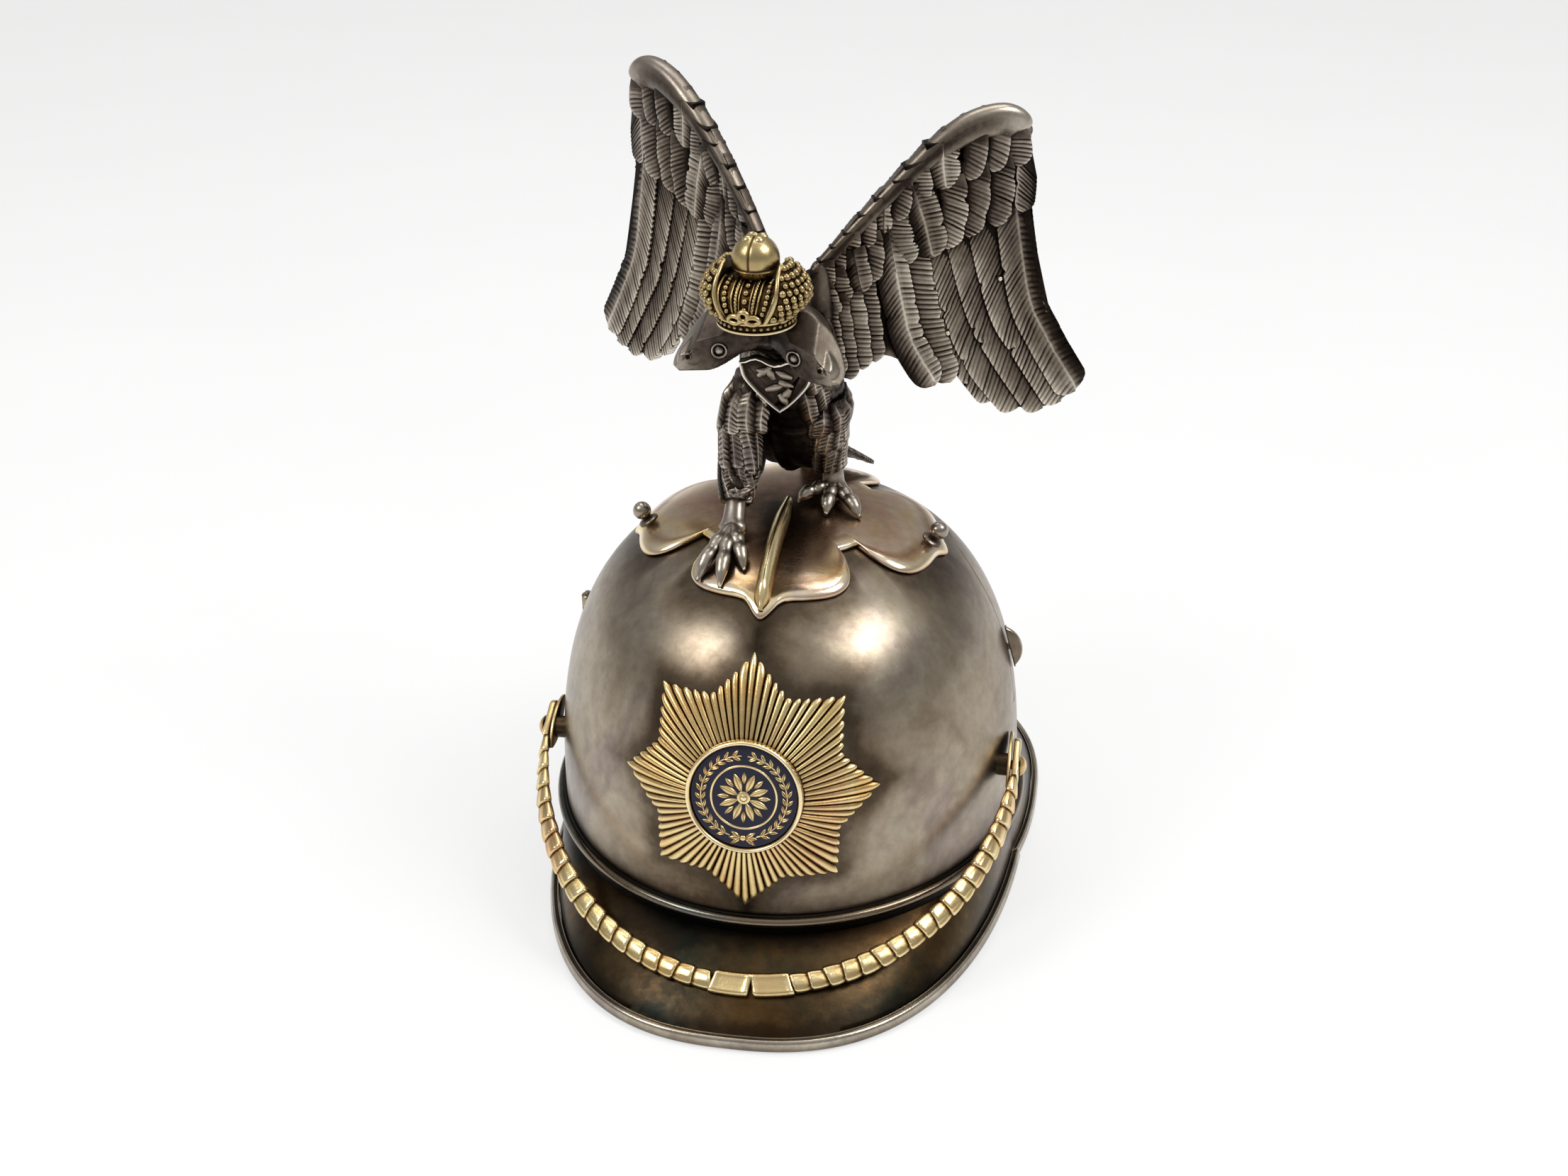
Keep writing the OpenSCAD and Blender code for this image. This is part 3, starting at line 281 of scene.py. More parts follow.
def paint_wear_and_shading(obj, rule):
    """Sets the wear of a finished mesh from its points in millimetres, with the painted highlights and
    painted shade that the rule holds
    """
    mesh = obj.data
    if "wear_and_shading" in mesh.attributes:
        mesh.attributes.remove(mesh.attributes["wear_and_shading"])
    set_wear_and_shading(mesh, rule(mesh_values(mesh) / MM))


# Materials

def linear(c):
    """Linear value of an 8-bit screen value"""
    return c / 255 / 12.92 if c <= 10 else ((c / 255 + 0.055) / 1.055) ** 2.4


def stops(*rows):
    """Stops of a colour ramp, from rows of the place and the red, green and blue as 8-bit screen values"""
    return [(place, (*(linear(c) for c in colour), 1)) for place, *colour in rows]


class Nodes:
    """Short way to add shader nodes and join them"""

    def __init__(self, owner):
        owner.use_nodes = True
        self.tree = owner.node_tree
        self.tree.nodes.clear()

    def feed(self, socket, value):
        if isinstance(value, bpy.types.NodeSocket):
            self.tree.links.new(value, socket)
        else:
            socket.default_value = value

    def add(self, kind, inputs=None, **settings):
        node = self.tree.nodes.new(kind)
        for key, value in settings.items():
            setattr(node, key, value)
        for key, value in (inputs or {}).items():
            self.feed(node.inputs[key], value)
        return node

    def math(self, operation, *values):
        return self.add("ShaderNodeMath", dict(enumerate(values)), operation=operation).outputs[0]

    def noise(self, place, scale, detail=5, rough=0.6, distortion=0.0):
        return self.add("ShaderNodeTexNoise", {"Vector": place, "Scale": scale, "Detail": detail,
                                               "Roughness": rough, "Distortion": distortion}).outputs["Fac"]

    def ramp(self, factor, rows):
        node = self.add("ShaderNodeValToRGB", {"Fac": factor})
        points = node.color_ramp.elements
        while len(points) < len(rows):
            points.new(0.5)
        for point, (position, colour) in zip(points, rows):
            point.position = position
            point.color = colour
        return node.outputs["Color"]

    def blend(self, factor, a, b, kind="MIX"):
        node = self.add("ShaderNodeMix", {0: factor, 6: a, 7: b}, data_type="RGBA", blend_type=kind)
        return node.outputs[2]

    def spread(self, value, low, high, to_low, to_high):
        """Value between low and high, spread between to_low and to_high"""
        return self.add("ShaderNodeMapRange", {"Value": value, "From Min": low, "From Max": high,
                                               "To Min": to_low, "To Max": to_high}).outputs[0]

    def relief(self, height, strength, depth):
        return self.add("ShaderNodeBump", {"Height": height, "Strength": strength,
                                           "Distance": depth * MM}).outputs[0]

    def surface(self, **inputs):
        """Principled shader as the material's surface"""
        named = {key.replace("_", " "): value for key, value in inputs.items()}
        shader = self.add("ShaderNodeBsdfPrincipled", named)
        self.add("ShaderNodeOutputMaterial", {"Surface": shader.outputs[0]})


def new_material(name):
    material = bpy.data.materials.new(name)
    n = Nodes(material)
    return material, n, n.add("ShaderNodeTexCoord").outputs["Object"]


# Scratches run along one slanting way. Metal without a wear attribute has an even wear.
SCRATCH_TURN, SCRATCH_STRETCH, SCRATCH_SCALE = (0.5, 0.3, 0.8), (1, 14, 1.5), 260
SMALL_SCALE, SPOT_SCALE, EVEN_WEAR = 9, 30, 0.55


def aged_metal(name, colours, rough, mottle=0.3, scale=70, tints=None, tint_share=0.5, tint_scale=45,
               worn=True, shade_and_patina=0.0, reach=2.5, grain=0.25, scratch=0.2):
    """Metal whose colour runs from its recesses to its edges, with mottling, tints and scratches, and when
    asked patina and painted shade where an ambient occlusion node finds close surfaces
    """
    material, n, place = new_material(name)
    large = n.noise(place, scale, detail=7, rough=0.62, distortion=0.4)
    small = n.noise(place, scale * SMALL_SCALE, rough=0.65)
    spots = n.noise(place, scale * SPOT_SCALE, detail=3, rough=0.7)
    level = n.math("MULTIPLY_ADD", large, 2 * mottle, -mottle)
    level = n.math("MULTIPLY_ADD", small, 0.9 * mottle, level)
    level = n.math("SUBTRACT", level, 0.45 * mottle)
    wear_and_shading = n.add("ShaderNodeAttribute", attribute_name="wear_and_shading").outputs["Fac"] if worn else EVEN_WEAR
    level = n.math("ADD", level, wear_and_shading)
    # Patina and painted shade: the colour is darkened where the ambient occlusion node finds nearby surfaces.
    if shade_and_patina:
        open_share = n.add("ShaderNodeAmbientOcclusion", {"Distance": reach * MM}, samples=6).outputs["AO"]
        level = n.math("ADD", level, n.math("MULTIPLY_ADD", open_share, shade_and_patina, -shade_and_patina))
    colour = n.ramp(level, colours)
    shade = n.noise(place, tint_scale, detail=4, rough=0.55, distortion=0.8)
    tinted = n.blend(1.0, colour, n.ramp(shade, tints), "MULTIPLY")
    drawn_out = n.add("ShaderNodeMapping", {"Vector": place, "Rotation": SCRATCH_TURN,
                                            "Scale": SCRATCH_STRETCH}).outputs[0]
    lines = n.noise(drawn_out, SCRATCH_SCALE, detail=4, rough=0.75)
    dull = n.spread(level, 0.15, 0.85, *rough)
    for pattern, share in ((spots, 0.12), (lines, scratch)):
        dull = n.math("ADD", dull, n.math("MULTIPLY", n.math("SUBTRACT", pattern, 0.5), share))
    height = n.math("ADD", n.math("MULTIPLY", small, 0.6), n.math("MULTIPLY", spots, 0.4))
    height = n.math("ADD", height, n.math("MULTIPLY", lines, scratch))
    n.surface(Base_Color=n.blend(tint_share, colour, tinted), Roughness=dull, Metallic=1.0,
              Normal=n.relief(height, grain, 0.12))
    return material


def enamel_material():
    material, n, place = new_material("navy enamel")
    cloud = n.noise(place, 220)
    n.surface(Base_Color=n.ramp(cloud, stops((0.3, 6, 6, 28), (0.7, 14, 13, 52))),
              Roughness=n.spread(n.noise(place, 1500, detail=3), 0.35, 0.7, 0.16, 0.34),
              Normal=n.relief(cloud, 0.12, 0.1), Coat_Weight=0.15, Coat_Roughness=0.1, Specular_IOR_Level=0.3)
    return material


SILVER_TINTS = stops((0.3, 222, 205, 186), (0.5, 255, 250, 240), (0.62, 205, 192, 196), (0.75, 240, 232, 214))
PATINA_TINTS = stops((0.32, 150, 190, 200), (0.5, 255, 232, 200), (0.68, 255, 206, 130))
LEAF_TINTS = stops((0.3, 255, 218, 206), (0.48, 240, 236, 240), (0.62, 255, 240, 190), (0.75, 222, 228, 196))
GILT_TINTS = stops((0.3, 255, 226, 190), (0.5, 255, 255, 245), (0.7, 246, 214, 205))

dome_silver = aged_metal(
    "aged silver", stops((0.0, 40, 33, 27), (0.28, 92, 82, 70), (0.5, 142, 132, 118), (0.75, 186, 178, 164),
                         (1.0, 224, 218, 206)),
    (0.4, 0.25), scale=44, tints=SILVER_TINTS, tint_share=0.75, grain=0.2, scratch=0.08)
trim_silver = aged_metal(
    "worn silver trim", stops((0.0, 44, 38, 32), (0.35, 96, 88, 77), (0.6, 140, 132, 120),
                              (0.9, 196, 190, 178)),
    (0.45, 0.2), scale=85, tints=SILVER_TINTS, tint_share=0.7, grain=0.3, scratch=0.15)
patina = aged_metal(
    "dark patina", stops((0.0, 16, 15, 14), (0.4, 52, 45, 37), (0.65, 92, 78, 58), (0.9, 168, 148, 114)),
    (0.4, 0.24), mottle=0.4, scale=42, tints=PATINA_TINTS, tint_share=0.85, tint_scale=32, grain=0.3)
ring_patina = aged_metal(
    "dark ring", stops((0.0, 14, 14, 14), (0.4, 40, 38, 36), (0.65, 70, 67, 62), (0.95, 126, 121, 112)),
    (0.38, 0.2), scale=60, tints=PATINA_TINTS, tint_scale=32)
oxidised = aged_metal(
    "oxidised silver", stops((0.0, 16, 13, 11), (0.25, 52, 44, 38), (0.5, 124, 115, 105),
                             (0.78, 190, 183, 172), (1.0, 236, 231, 222)),
    (0.5, 0.26), mottle=0.2, scale=110, tints=SILVER_TINTS, shade_and_patina=0.6, reach=1.4)
gilt = aged_metal(
    "silver gilt", stops((0.0, 46, 32, 18), (0.25, 118, 92, 56), (0.5, 204, 178, 124), (0.8, 240, 222, 174),
                         (1.0, 255, 244, 210)),
    (0.42, 0.2), mottle=0.16, scale=120, tints=GILT_TINTS, tint_share=0.7, shade_and_patina=0.5, reach=0.9)
crown_gilt = aged_metal(
    "antique gilt", stops((0.0, 44, 30, 17), (0.28, 88, 68, 42), (0.52, 142, 122, 84), (0.78, 190, 172, 128),
                          (1.0, 234, 220, 180)),
    (0.44, 0.26), mottle=0.2, scale=130, tints=GILT_TINTS, shade_and_patina=0.6, reach=1.0)
leaf_gilt = aged_metal(
    "worn gilt plate", stops((0.0, 38, 26, 17), (0.2, 76, 58, 40), (0.42, 140, 114, 92),
                             (0.66, 198, 172, 144), (1.0, 250, 238, 212)),
    (0.36, 0.16), scale=60, tints=LEAF_TINTS, tint_share=0.75, tint_scale=60, grain=0.15)
plain_silver = aged_metal(
    "silver fittings", stops((0.0, 60, 54, 48), (0.5, 150, 142, 130), (1.0, 214, 208, 198)),
    (0.42, 0.28), scale=120, worn=False, tints=SILVER_TINTS, tint_share=0.7)
plain_dark = aged_metal(
    "dark fittings", stops((0.0, 24, 20, 16), (0.5, 58, 50, 40), (1.0, 104, 90, 70)),
    (0.45, 0.3), scale=120, worn=False, tints=PATINA_TINTS)
plain_gilt = aged_metal(
    "gilt fittings", stops((0.0, 96, 74, 44), (0.5, 176, 154, 108), (1.0, 232, 216, 170)),
    (0.4, 0.25), mottle=0.25, scale=120, worn=False, tints=GILT_TINTS, tint_share=0.7)
enamel = enamel_material()


# Skull: half of a superellipsoid, the same as in the frame

HALF, FRONT, BACK, SPRING, TOP, LOW, POWER = 40.0, 44.4, 43.0, 12.9, 65.0, 9.4, 2.8
WALL = 0.9
SKULL_ROWS, LINING_ROWS, SKULL_COLS = 64, 24, 232


def rounded(q):
    return np.maximum(0, 1 - q ** POWER) ** (1 / POWER)


def skull_depth(y, d):
    return np.where(np.asarray(y) < 0, FRONT, BACK) + d


def skull_share(z, d):
    return rounded(np.maximum(0, (np.asarray(z, float) - SPRING) / (TOP - SPRING + d)))


def skull_z(x, y, d=0.0):
    return SPRING + (TOP - SPRING + d) * rounded(np.hypot(np.asarray(x) / (HALF + d),
                                                          np.asarray(y) / skull_depth(y, d)))


def left_over(share, part):
    return np.sqrt(np.maximum(0, share ** 2 - part ** 2))


def skull_y(x, z, d=0.0):
    return -(FRONT + d) * left_over(skull_share(z, d), np.asarray(x) / (HALF + d))


def skull_x(y, z, d=0.0):
    return (HALF + d) * left_over(skull_share(z, d), np.asarray(y) / skull_depth(y, d))


def skull_out(p):
    """Outward direction of the skull at its points"""
    x, y, z = np.moveaxis(np.asarray(p, float), -1, 0)
    q = np.maximum(0, (z - SPRING) / (TOP - SPRING))
    g = np.maximum(1e-6, 1 - q ** POWER) ** (2 / POWER - 1) * q ** (POWER - 1) / (TOP - SPRING)
    return unit(np.stack([x / HALF ** 2, y / skull_depth(y, 0) ** 2, g], -1))


def skull_plan(a, d):
    """Point at the foot of the skull, grown outwards by d, at the angle a in degrees"""
    return np.stack([(HALF + d) * cosd(a), skull_depth(sind(a), d) * sind(a)], -1)


def skull_profile(rows):
    """Evenly spaced [share, rise] along the skull's side, from its foot to its top"""
    h = np.linspace(0, np.pi / 2, 4000)
    share, lift = np.cos(h) ** (2 / POWER), np.sin(h) ** (2 / POWER)
    run = np.concatenate([[0], np.cumsum(np.hypot(np.diff(share) * HALF, np.diff(lift) * (TOP - SPRING)))])
    want = np.linspace(0, run[-1], rows)
    return np.stack([np.interp(want, run, share), np.interp(want, run, lift)], -1)


def skull_surface(d, rows):
    """Rows of points from the lower edge of the skull to its top, grown outwards by d"""
    plan = skull_plan(degrees_round(SKULL_COLS), d)
    foot = np.column_stack([plan, np.full(SKULL_COLS, LOW)])[None]
    body = np.stack([np.column_stack([plan * r, np.full(SKULL_COLS, SPRING + (TOP - SPRING + d) * z)])
                     for r, z in skull_profile(rows)])
    return np.concatenate([foot, body])


def skull_shell():
    outer = skull_surface(0, SKULL_ROWS)
    inner = skull_surface(-WALL, LINING_ROWS)
    n = SKULL_COLS
    base = outer.shape[0] * n
    faces = grid_faces(outer.shape[0], n, wrap=True) + grid_faces(inner.shape[0], n, wrap=True, start=base)
    faces += [(j, (j + 1) % n, base + (j + 1) % n, base + j) for j in range(n)]
    shape = Shape()
    shape.add(np.concatenate([outer.reshape(-1, 3), inner.reshape(-1, 3)]), faces)
    return solid(shape, "skull_shell", 40)


# Door opening

DOOR_LOW, DOOR_HIGH, DOOR_SEAM, HINGE_SEAM = 31.8, 57.4, -1.4, 7.0
DOOR_CORNER, DOOR_LEAN, DOOR_GAP = 8.0, 0.22, 0.25
KNUCKLE_R, KNUCKLE_H, HINGE_LOW, PIN_END, HINGE_ROOM = 1.15, 2.6, 33.4, 0.4, 0.25
KNUCKLES, KNUCKLE_CHAMFER, BLOCK_START, BLOCK_PAST = 3, 0.12, 0.45, 0.6
CUTTER_BACK, CUTTER_SIDE = 20, 12


def seam_y(y, z):
    return y + (z - DOOR_LOW) * DOOR_LEAN


def door_outline(y, g):
    """Side view of the door opening as [y, z], grown outwards by g"""
    low, high, back = DOOR_LOW - g, DOOR_HIGH + g, BACK + CUTTER_BACK
    corner_z = high - DOOR_CORNER
    corner_y = seam_y(y - g, corner_z) + DOOR_CORNER * math.hypot(1, DOOR_LEAN)
    arc = np.linspace(180 - math.degrees(math.atan(DOOR_LEAN)), 90, 24)
    corner = [[corner_y + DOOR_CORNER * cosd(a), corner_z + DOOR_CORNER * sind(a)] for a in arc]
    return np.array([[seam_y(y - g, low), low], *corner, [back, high], [back, low]])


def prism(outline, x0, x1, name):
    shape = Shape()
    shape.tube([np.column_stack([np.full(len(outline), x), outline]) for x in (x0, x1)])
    return solid(shape, name, 30)


def door_space(g):
    right = prism(door_outline(DOOR_SEAM, g), 0, HALF + CUTTER_SIDE, "door_space")
    left = prism(door_outline(HINGE_SEAM, g), -HALF - CUTTER_SIDE, 1, "door_space_left")
    carve(right, left, "UNION")
    discard(left)
    return right


hinge_y = seam_y(HINGE_SEAM, HINGE_LOW + KNUCKLES * KNUCKLE_H / 2)
hinge_at = np.array([-float(skull_x(hinge_y, DOOR_LOW)), hinge_y, 0])
hinge_out = skull_out([hinge_at[0], hinge_y, DOOR_LOW])


def in_hinge_frame(points):
    a = math.atan2(hinge_out[1], hinge_out[0])
    p = np.asarray(points, float)
    x = p[..., 0] * math.cos(a) - p[..., 1] * math.sin(a) + hinge_at[0]
    y = p[..., 0] * math.sin(a) + p[..., 1] * math.cos(a) + hinge_at[1]
    return np.stack([x, y, p[..., 2]], -1)


def rod(section, name):
    """Solid of revolution round the hinge's axis"""
    shape = Shape()
    shape.lathe(section, in_hinge_frame, 40)
    return solid(shape, name, 35)


def knuckle(i, side, target):
    """Joins knuckle i and the block that carries it, on one side of the pin, to the target"""
    low, r, c = HINGE_LOW + i * KNUCKLE_H, KNUCKLE_R, KNUCKLE_CHAMFER
    high = low + KNUCKLE_H - c
    eye = rod([[0, low], [r - c, low], [r, low + c], [r, high - c], [r - c, high], [0, high]], "eye")
    inward = float(skull_x(hinge_y, DOOR_LOW) - skull_x(hinge_y, HINGE_LOW + (i + 0.5) * KNUCKLE_H))
    reach = KNUCKLE_R + HINGE_ROOM + BLOCK_PAST
    x0, x1 = -inward - 0.8 * WALL, -0.2
    y0, y1 = (BLOCK_START, reach) if side > 0 else (-reach, -BLOCK_START)
    block = Shape()
    block.tube([in_hinge_frame([[x0, y0, z], [x1, y0, z], [x1, y1, z], [x0, y1, z]]) for z in (low, high)])
    block = solid(block, "block", 30)
    carve(eye, block, "UNION")
    carve(target, eye, "UNION")
    discard(block)
    discard(eye)


STAR_Z, STAR_TIP, STAR_NOTCH, STAR_STEP = 36.0, 20.5, 16.0, 22.5
star_tilt = math.degrees(math.pi / 2 - math.acos(skull_out([0, float(skull_y(0, STAR_Z)), STAR_Z])[2]))


def star_edge(a):
    """Radius of the star's edge at the angle a in degrees"""
    b = STAR_STEP - np.abs((np.asarray(a, float) + 360) % (2 * STAR_STEP) - STAR_STEP)
    notch = STAR_NOTCH * np.array([cosd(STAR_STEP), sind(STAR_STEP)])
    return STAR_TIP * notch[1] / (notch[1] * cosd(b) + (STAR_TIP - notch[0]) * sind(b))


PLATE_ARM, PLATE_TIP, PLATE_WAIST = 26.0, 28.6, 16.3
BACK_TIP, SIDE_TIP, TIP_IN = 1.2, 0.8, 0.6


def plate_edge(a):
    """Radius of the crest plate's edge at the angle a in degrees"""
    d = np.abs((np.asarray(a, float) + 405) % 90 - 45)
    tip = np.where(sind(a) < -0.7, PLATE_TIP - PLATE_ARM, np.where(sind(a) > 0.7, BACK_TIP, SIDE_TIP))
    lobe = np.maximum(0, 1 - (d / 38.5) ** 6) ** (1 / 2.2)
    return PLATE_WAIST + (PLATE_ARM - TIP_IN - PLATE_WAIST) * lobe + (tip + TIP_IN) * bump(d, 5)


FAR_OFF, UPPER_SKULL, FOOT_SHADE_Z, SKIN_SHARE = 40, 40, 13.5, 0.985


def skull_wear_and_shade(p):
    """Aged silver: darker round the star and the crest plate, with painted shade just above the foot ring,
    and dark inside
    """
    x, y, z = p.T
    up = (z - STAR_Z) / cosd(star_tilt)
    star = np.where(y < 0, np.hypot(x, up) - star_edge(np.degrees(np.arctan2(up, x))), FAR_OFF)
    plate = np.where(z > UPPER_SKULL, np.hypot(x, y) - plate_edge(np.degrees(np.arctan2(y, x))), FAR_OFF)
    wear_and_shading = 0.6 - 0.34 * bump(np.maximum(star, 0), 3.2) - 0.32 * bump(np.maximum(plate, 0), 5)
    # Painted shade: the skull is darker just above the foot ring.
    wear_and_shading = wear_and_shading - 0.3 * bump(z - FOOT_SHADE_Z, 4)
    share = np.hypot(x / HALF, y / skull_depth(y, 0)) / np.maximum(skull_share(z, 0), 1e-6)
    return np.where(share < SKIN_SHARE, 0.3, wear_and_shading)


def make_skull():
    skull, opening = skull_shell(), door_space(DOOR_GAP)
    door, cut = skull_shell(), door_space(0)
    past, wide = PIN_END + HINGE_ROOM, KNUCKLE_R + HINGE_ROOM
    low, high = HINGE_LOW - past, HINGE_LOW + KNUCKLES * KNUCKLE_H + past
    slot = rod([[0, low], [wide, low], [wide, high], [0, high]], "slot")
    carve(skull, opening, "DIFFERENCE")
    carve(skull, slot, "DIFFERENCE")
    carve(door, cut, "INTERSECT")
    carve(door, slot, "DIFFERENCE")
    for i, side, target in ((0, 1, skull), (2, 1, skull), (1, -1, door)):
        knuckle(i, side, target)
    for tool in (opening, cut, slot):
        discard(tool)
    for obj, name, body, node in ((skull, "dome", "helmet", "skull"),
                                  (door, "back_door", "rear_door", "rear_door")):
        obj.name = name
        finish_mesh(obj.data, 30)
        paint_wear_and_shading(obj, skull_wear_and_shade)
        dress(obj, dome_silver, body, (node,))


TAB_R, TAB_CUT, TAB_EDGE, TAB_SHARE, TAB_PIN_R = 4.6, 2.2, 2.4, 0.32, 0.55


def make_thumb_piece():
    """D-shaped plate that stands out of the door beside its seam, on a short pin"""
    z = mix(DOOR_LOW, DOOR_HIGH, TAB_SHARE)
    y = seam_y(DOOR_SEAM, z) + TAB_EDGE
    at = np.array([float(skull_x(y, z)), y, z])
    out = skull_out(at)
    tangent = unit([-out[1], out[0], 0])
    up = np.cross(out, tangent)
    inner = TAB_R - TAB_CUT
    start = math.degrees(math.acos(inner / TAB_R))
    arc = np.linspace(-start, start, 40)
    shape = Shape()
    shape.plate(np.column_stack([TAB_R * cosd(arc) - inner + 0.2, TAB_R * sind(arc)]),
                [-0.55, -0.4, -0.2, 0.2, 0.4, 0.55], [0.28, 0.08, 0, 0, 0.08, 0.28],
                framed(at, out, up, tangent), [0.5, 0.8, 0.9, 0.9, 0.8, 0.5])
    foot = -WALL - 0.2
    shape.lathe([[0, foot], [TAB_PIN_R, foot], [TAB_PIN_R, 0.6], [0, 0.6]], framed(at, tangent, up, out), 24)
    build(shape, "thumb_tab", trim_silver, "rear_door", ("thumb_piece",))


# Foot ring

BEAD_R, BEAD_OUT, BEAD_Z = 0.85, 0.75, 13.15


def make_base_band():
    """Ring with its round bead between the skull and the brim"""
    arc = np.linspace(108, -72, 13)
    bead = [[BEAD_OUT + BEAD_R * cosd(a), BEAD_Z + BEAD_R * sind(a)] for a in arc]
    section = [[0.08, 14.2], [0.35, 14.15], *bead, [0.78, 12.15], [0.66, 11.9], [0.6, 11.6], [0.6, 9.2],
               [0.5, 9], [0.06, 9], [0.06, 11]]
    # The bead is brightest on its upper outer face: partly a rubbed crest, partly a painted highlight.
    bead_wear_and_highlight = 0.45 + 0.5 * np.maximum(0, cosd(arc - 20))
    wear_and_shading = [0.2, 0.25, *bead_wear_and_highlight, 0.15, 0.15, 0.25, 0.3, 0.3, 0.2, 0.2]
    a = degrees_round(240)
    rings = np.stack([np.column_stack([skull_plan(a, d), np.full(len(a), z)]) for d, z in section], 1)
    shape = Shape()
    shape.tube(rings, np.tile(wear_and_shading, len(a)), close=True)
    build(shape, "foot_ring", ring_patina, nodes=("base_band",))


# Brim: a plan holds the rim's half width, its middle, its length before and behind that, and its power

BRIM_TOP, BRIM_WALL, BRIM_BULGE, BRIM_SEAT, SEAT = SPRING - 2.3, 0.8, 0.9, 0.2, 0.06
BAND_OUT = 0.6
VISOR_PLAN = (42.3, 15.0, 76.2, 45.0, 2.5)
NECK_PLAN = (43.6, 18.0, 55.0, 42.0, 2.3)
VISOR_END, RIM_END, BRIM_SPACE = 8.0, 3.0, 0.5
VISOR_TRIM_W, VISOR_TRIM_H, NECK_TRIM_W, NECK_TRIM_H = 1.5, 2.2, 1.3, 1.9


def rim_point(plan, a, d):
    half, middle, front, back, power = plan
    length = np.where(sind(a) < 0, front, back) + d
    return np.stack([(half + d) * spow(cosd(a), 2 / power), middle + length * spow(sind(a), 2 / power)], -1)


def rim_angle(plan, y):
    return math.degrees(math.asin(((plan[1] + y) / plan[2]) ** (plan[4] / 2)))


inner_angle = math.degrees(math.asin(VISOR_END / (FRONT + BAND_OUT + SEAT)))


def brim_angles(plan, turn, gap, n):
    """Angles at the inner edge and at the rim, from one end of the brim to the other"""
    ends = (inner_angle, rim_angle(plan, RIM_END))
    if turn < 0:
        return [np.linspace(-end - gap, end + gap - 180, n) for end in ends]
    return [np.linspace(-end, end + 180, n) for end in ends]


def make_brim(name, plan, turn, gap, width, height, node):
    ins, rims = brim_angles(plan, turn, gap, 190)
    u = np.linspace(0, 1, 22)[:, None]
    start, end = skull_plan(ins, BAND_OUT + SEAT), rim_point(plan, rims, -width - SEAT)
    flat = mix(start[None], end[None], u[..., None])
    z = mix(BRIM_TOP, height - BRIM_SEAT, u) + BRIM_BULGE * np.sin(np.pi * u)
    top = np.concatenate([flat, np.broadcast_to(z, flat.shape[:2])[..., None]], -1)
    shape = Shape()
    shape.slab(top, top - [0, 0, BRIM_WALL], 0.52 - 0.3 * bump(u, 0.16) - 0.3 * bump(1 - u, 0.1))
    build(shape, name, patina, nodes=(node,), sharp=50)


def trim_section(w, h):
    """Half round edge with a fine lip where it meets the sheet: rows of [out, up, wear]"""
    lip = [[-w - 0.02, 0.55 * h, 0.3], [-w, 0.86 * h, 0.8], [-0.93 * w, 0.97 * h, 1.0],
           [-0.84 * w, 0.97 * h, 0.9], [-0.78 * w, 0.9 * h, 0.3]]
    # The round is lighter on its upper face: partly rubbed, partly a painted highlight.
    arc = [[0.39 * w * (cosd(a) - 1), 0.5 * h * (1 + sind(a)), 0.45 + 0.4 * max(0, sind(a + 25))]
           for a in np.linspace(118, -90, 17)]
    return np.array(lip + arc + [[-0.6 * w, 0, 0.4], [-w, 0.02, 0.3]])


def make_trim(name, plan, turn, gap, w, h, node):
    rims = brim_angles(plan, turn, gap, 220)[1]
    section = trim_section(w, h)
    rings = np.stack([np.column_stack([rim_point(plan, rims, d), np.full(len(rims), z)])
                      for d, z in section[:, :2]], 1)
    shape = Shape()
    shape.tube(rings, np.tile(section[:, 2], len(rims)))
    build(shape, name, trim_silver, nodes=(node,), sharp=55)


# Star and medallion

RAYS, RAY_COLS = 80, 10
CUP_R, CUP_H, CUP_FLOOR, ENAMEL_R, ENAMEL_TOP, RING_R = 9.3, 2.0, 0.85, 8.5, 1.5, 5.2
STAR_SEAT, PLATE_SEAT, STAR_ROOM = 0.2, 0.22, 0.08
RAY_HIGH, RAY_LOW = (1.38, 0.78), (0.98, 0.42)


def star_point(r, a, d):
    x = r * cosd(a)
    z = STAR_Z + r * sind(a) * cosd(star_tilt)
    return np.stack([x, skull_y(x, z, d), z], -1)


def make_star():
    """Badge of convex rays with sharp dark grooves between them"""
    seams = np.array([360 * (i - 0.5) / RAYS + rng.uniform(-0.35, 0.35) for i in range(RAYS)])
    seams = np.append(seams, seams[0] + 360)
    phase = np.arange(RAYS * RAY_COLS) / RAY_COLS
    ray = phase.astype(int)
    f = phase - ray
    a = mix(seams[ray], seams[ray + 1], f)
    lift = np.array([rng.uniform(0.85, 1.12) for i in range(RAYS)])[ray]
    crown = np.sin(np.pi * f) ** 0.55
    edge = star_edge(a) - 0.75 * (1 - np.sin(np.pi * f) ** 0.9) + 0.2 * (lift - 1)
    hole = CUP_R + STAR_ROOM
    shares = np.concatenate([np.linspace(0, 0.86, 15), 1 - 0.14 * (1 - np.linspace(0, 1, 8)[1:]) ** 1.6])
    rows, wears = [], []
    for share in shares:
        round_off = np.sqrt(max(0.0, 1 - max(0, (share - 0.88) / 0.12) ** 2))
        d = mix(mix(*RAY_LOW, share), mix(*RAY_HIGH, share) * lift, crown) * (0.5 + 0.5 * round_off)
        rows.append(star_point(mix(hole, edge, share), a, d))
        wears.append(0.02 + 0.72 * crown ** 1.3 + 0.2 * (1 - round_off) + 0.08 * (lift - 1))
    for share in (1, 0.66, 0.33, 0):
        rows.append(star_point(mix(hole, edge - 0.1, share), a, STAR_SEAT))
        wears.append(np.full(len(a), 0.1))
    shape = Shape()
    shape.tube(rows, np.concatenate(wears), close=True)
    build(shape, "star", gilt, nodes=("star_badge",), sharp=60)


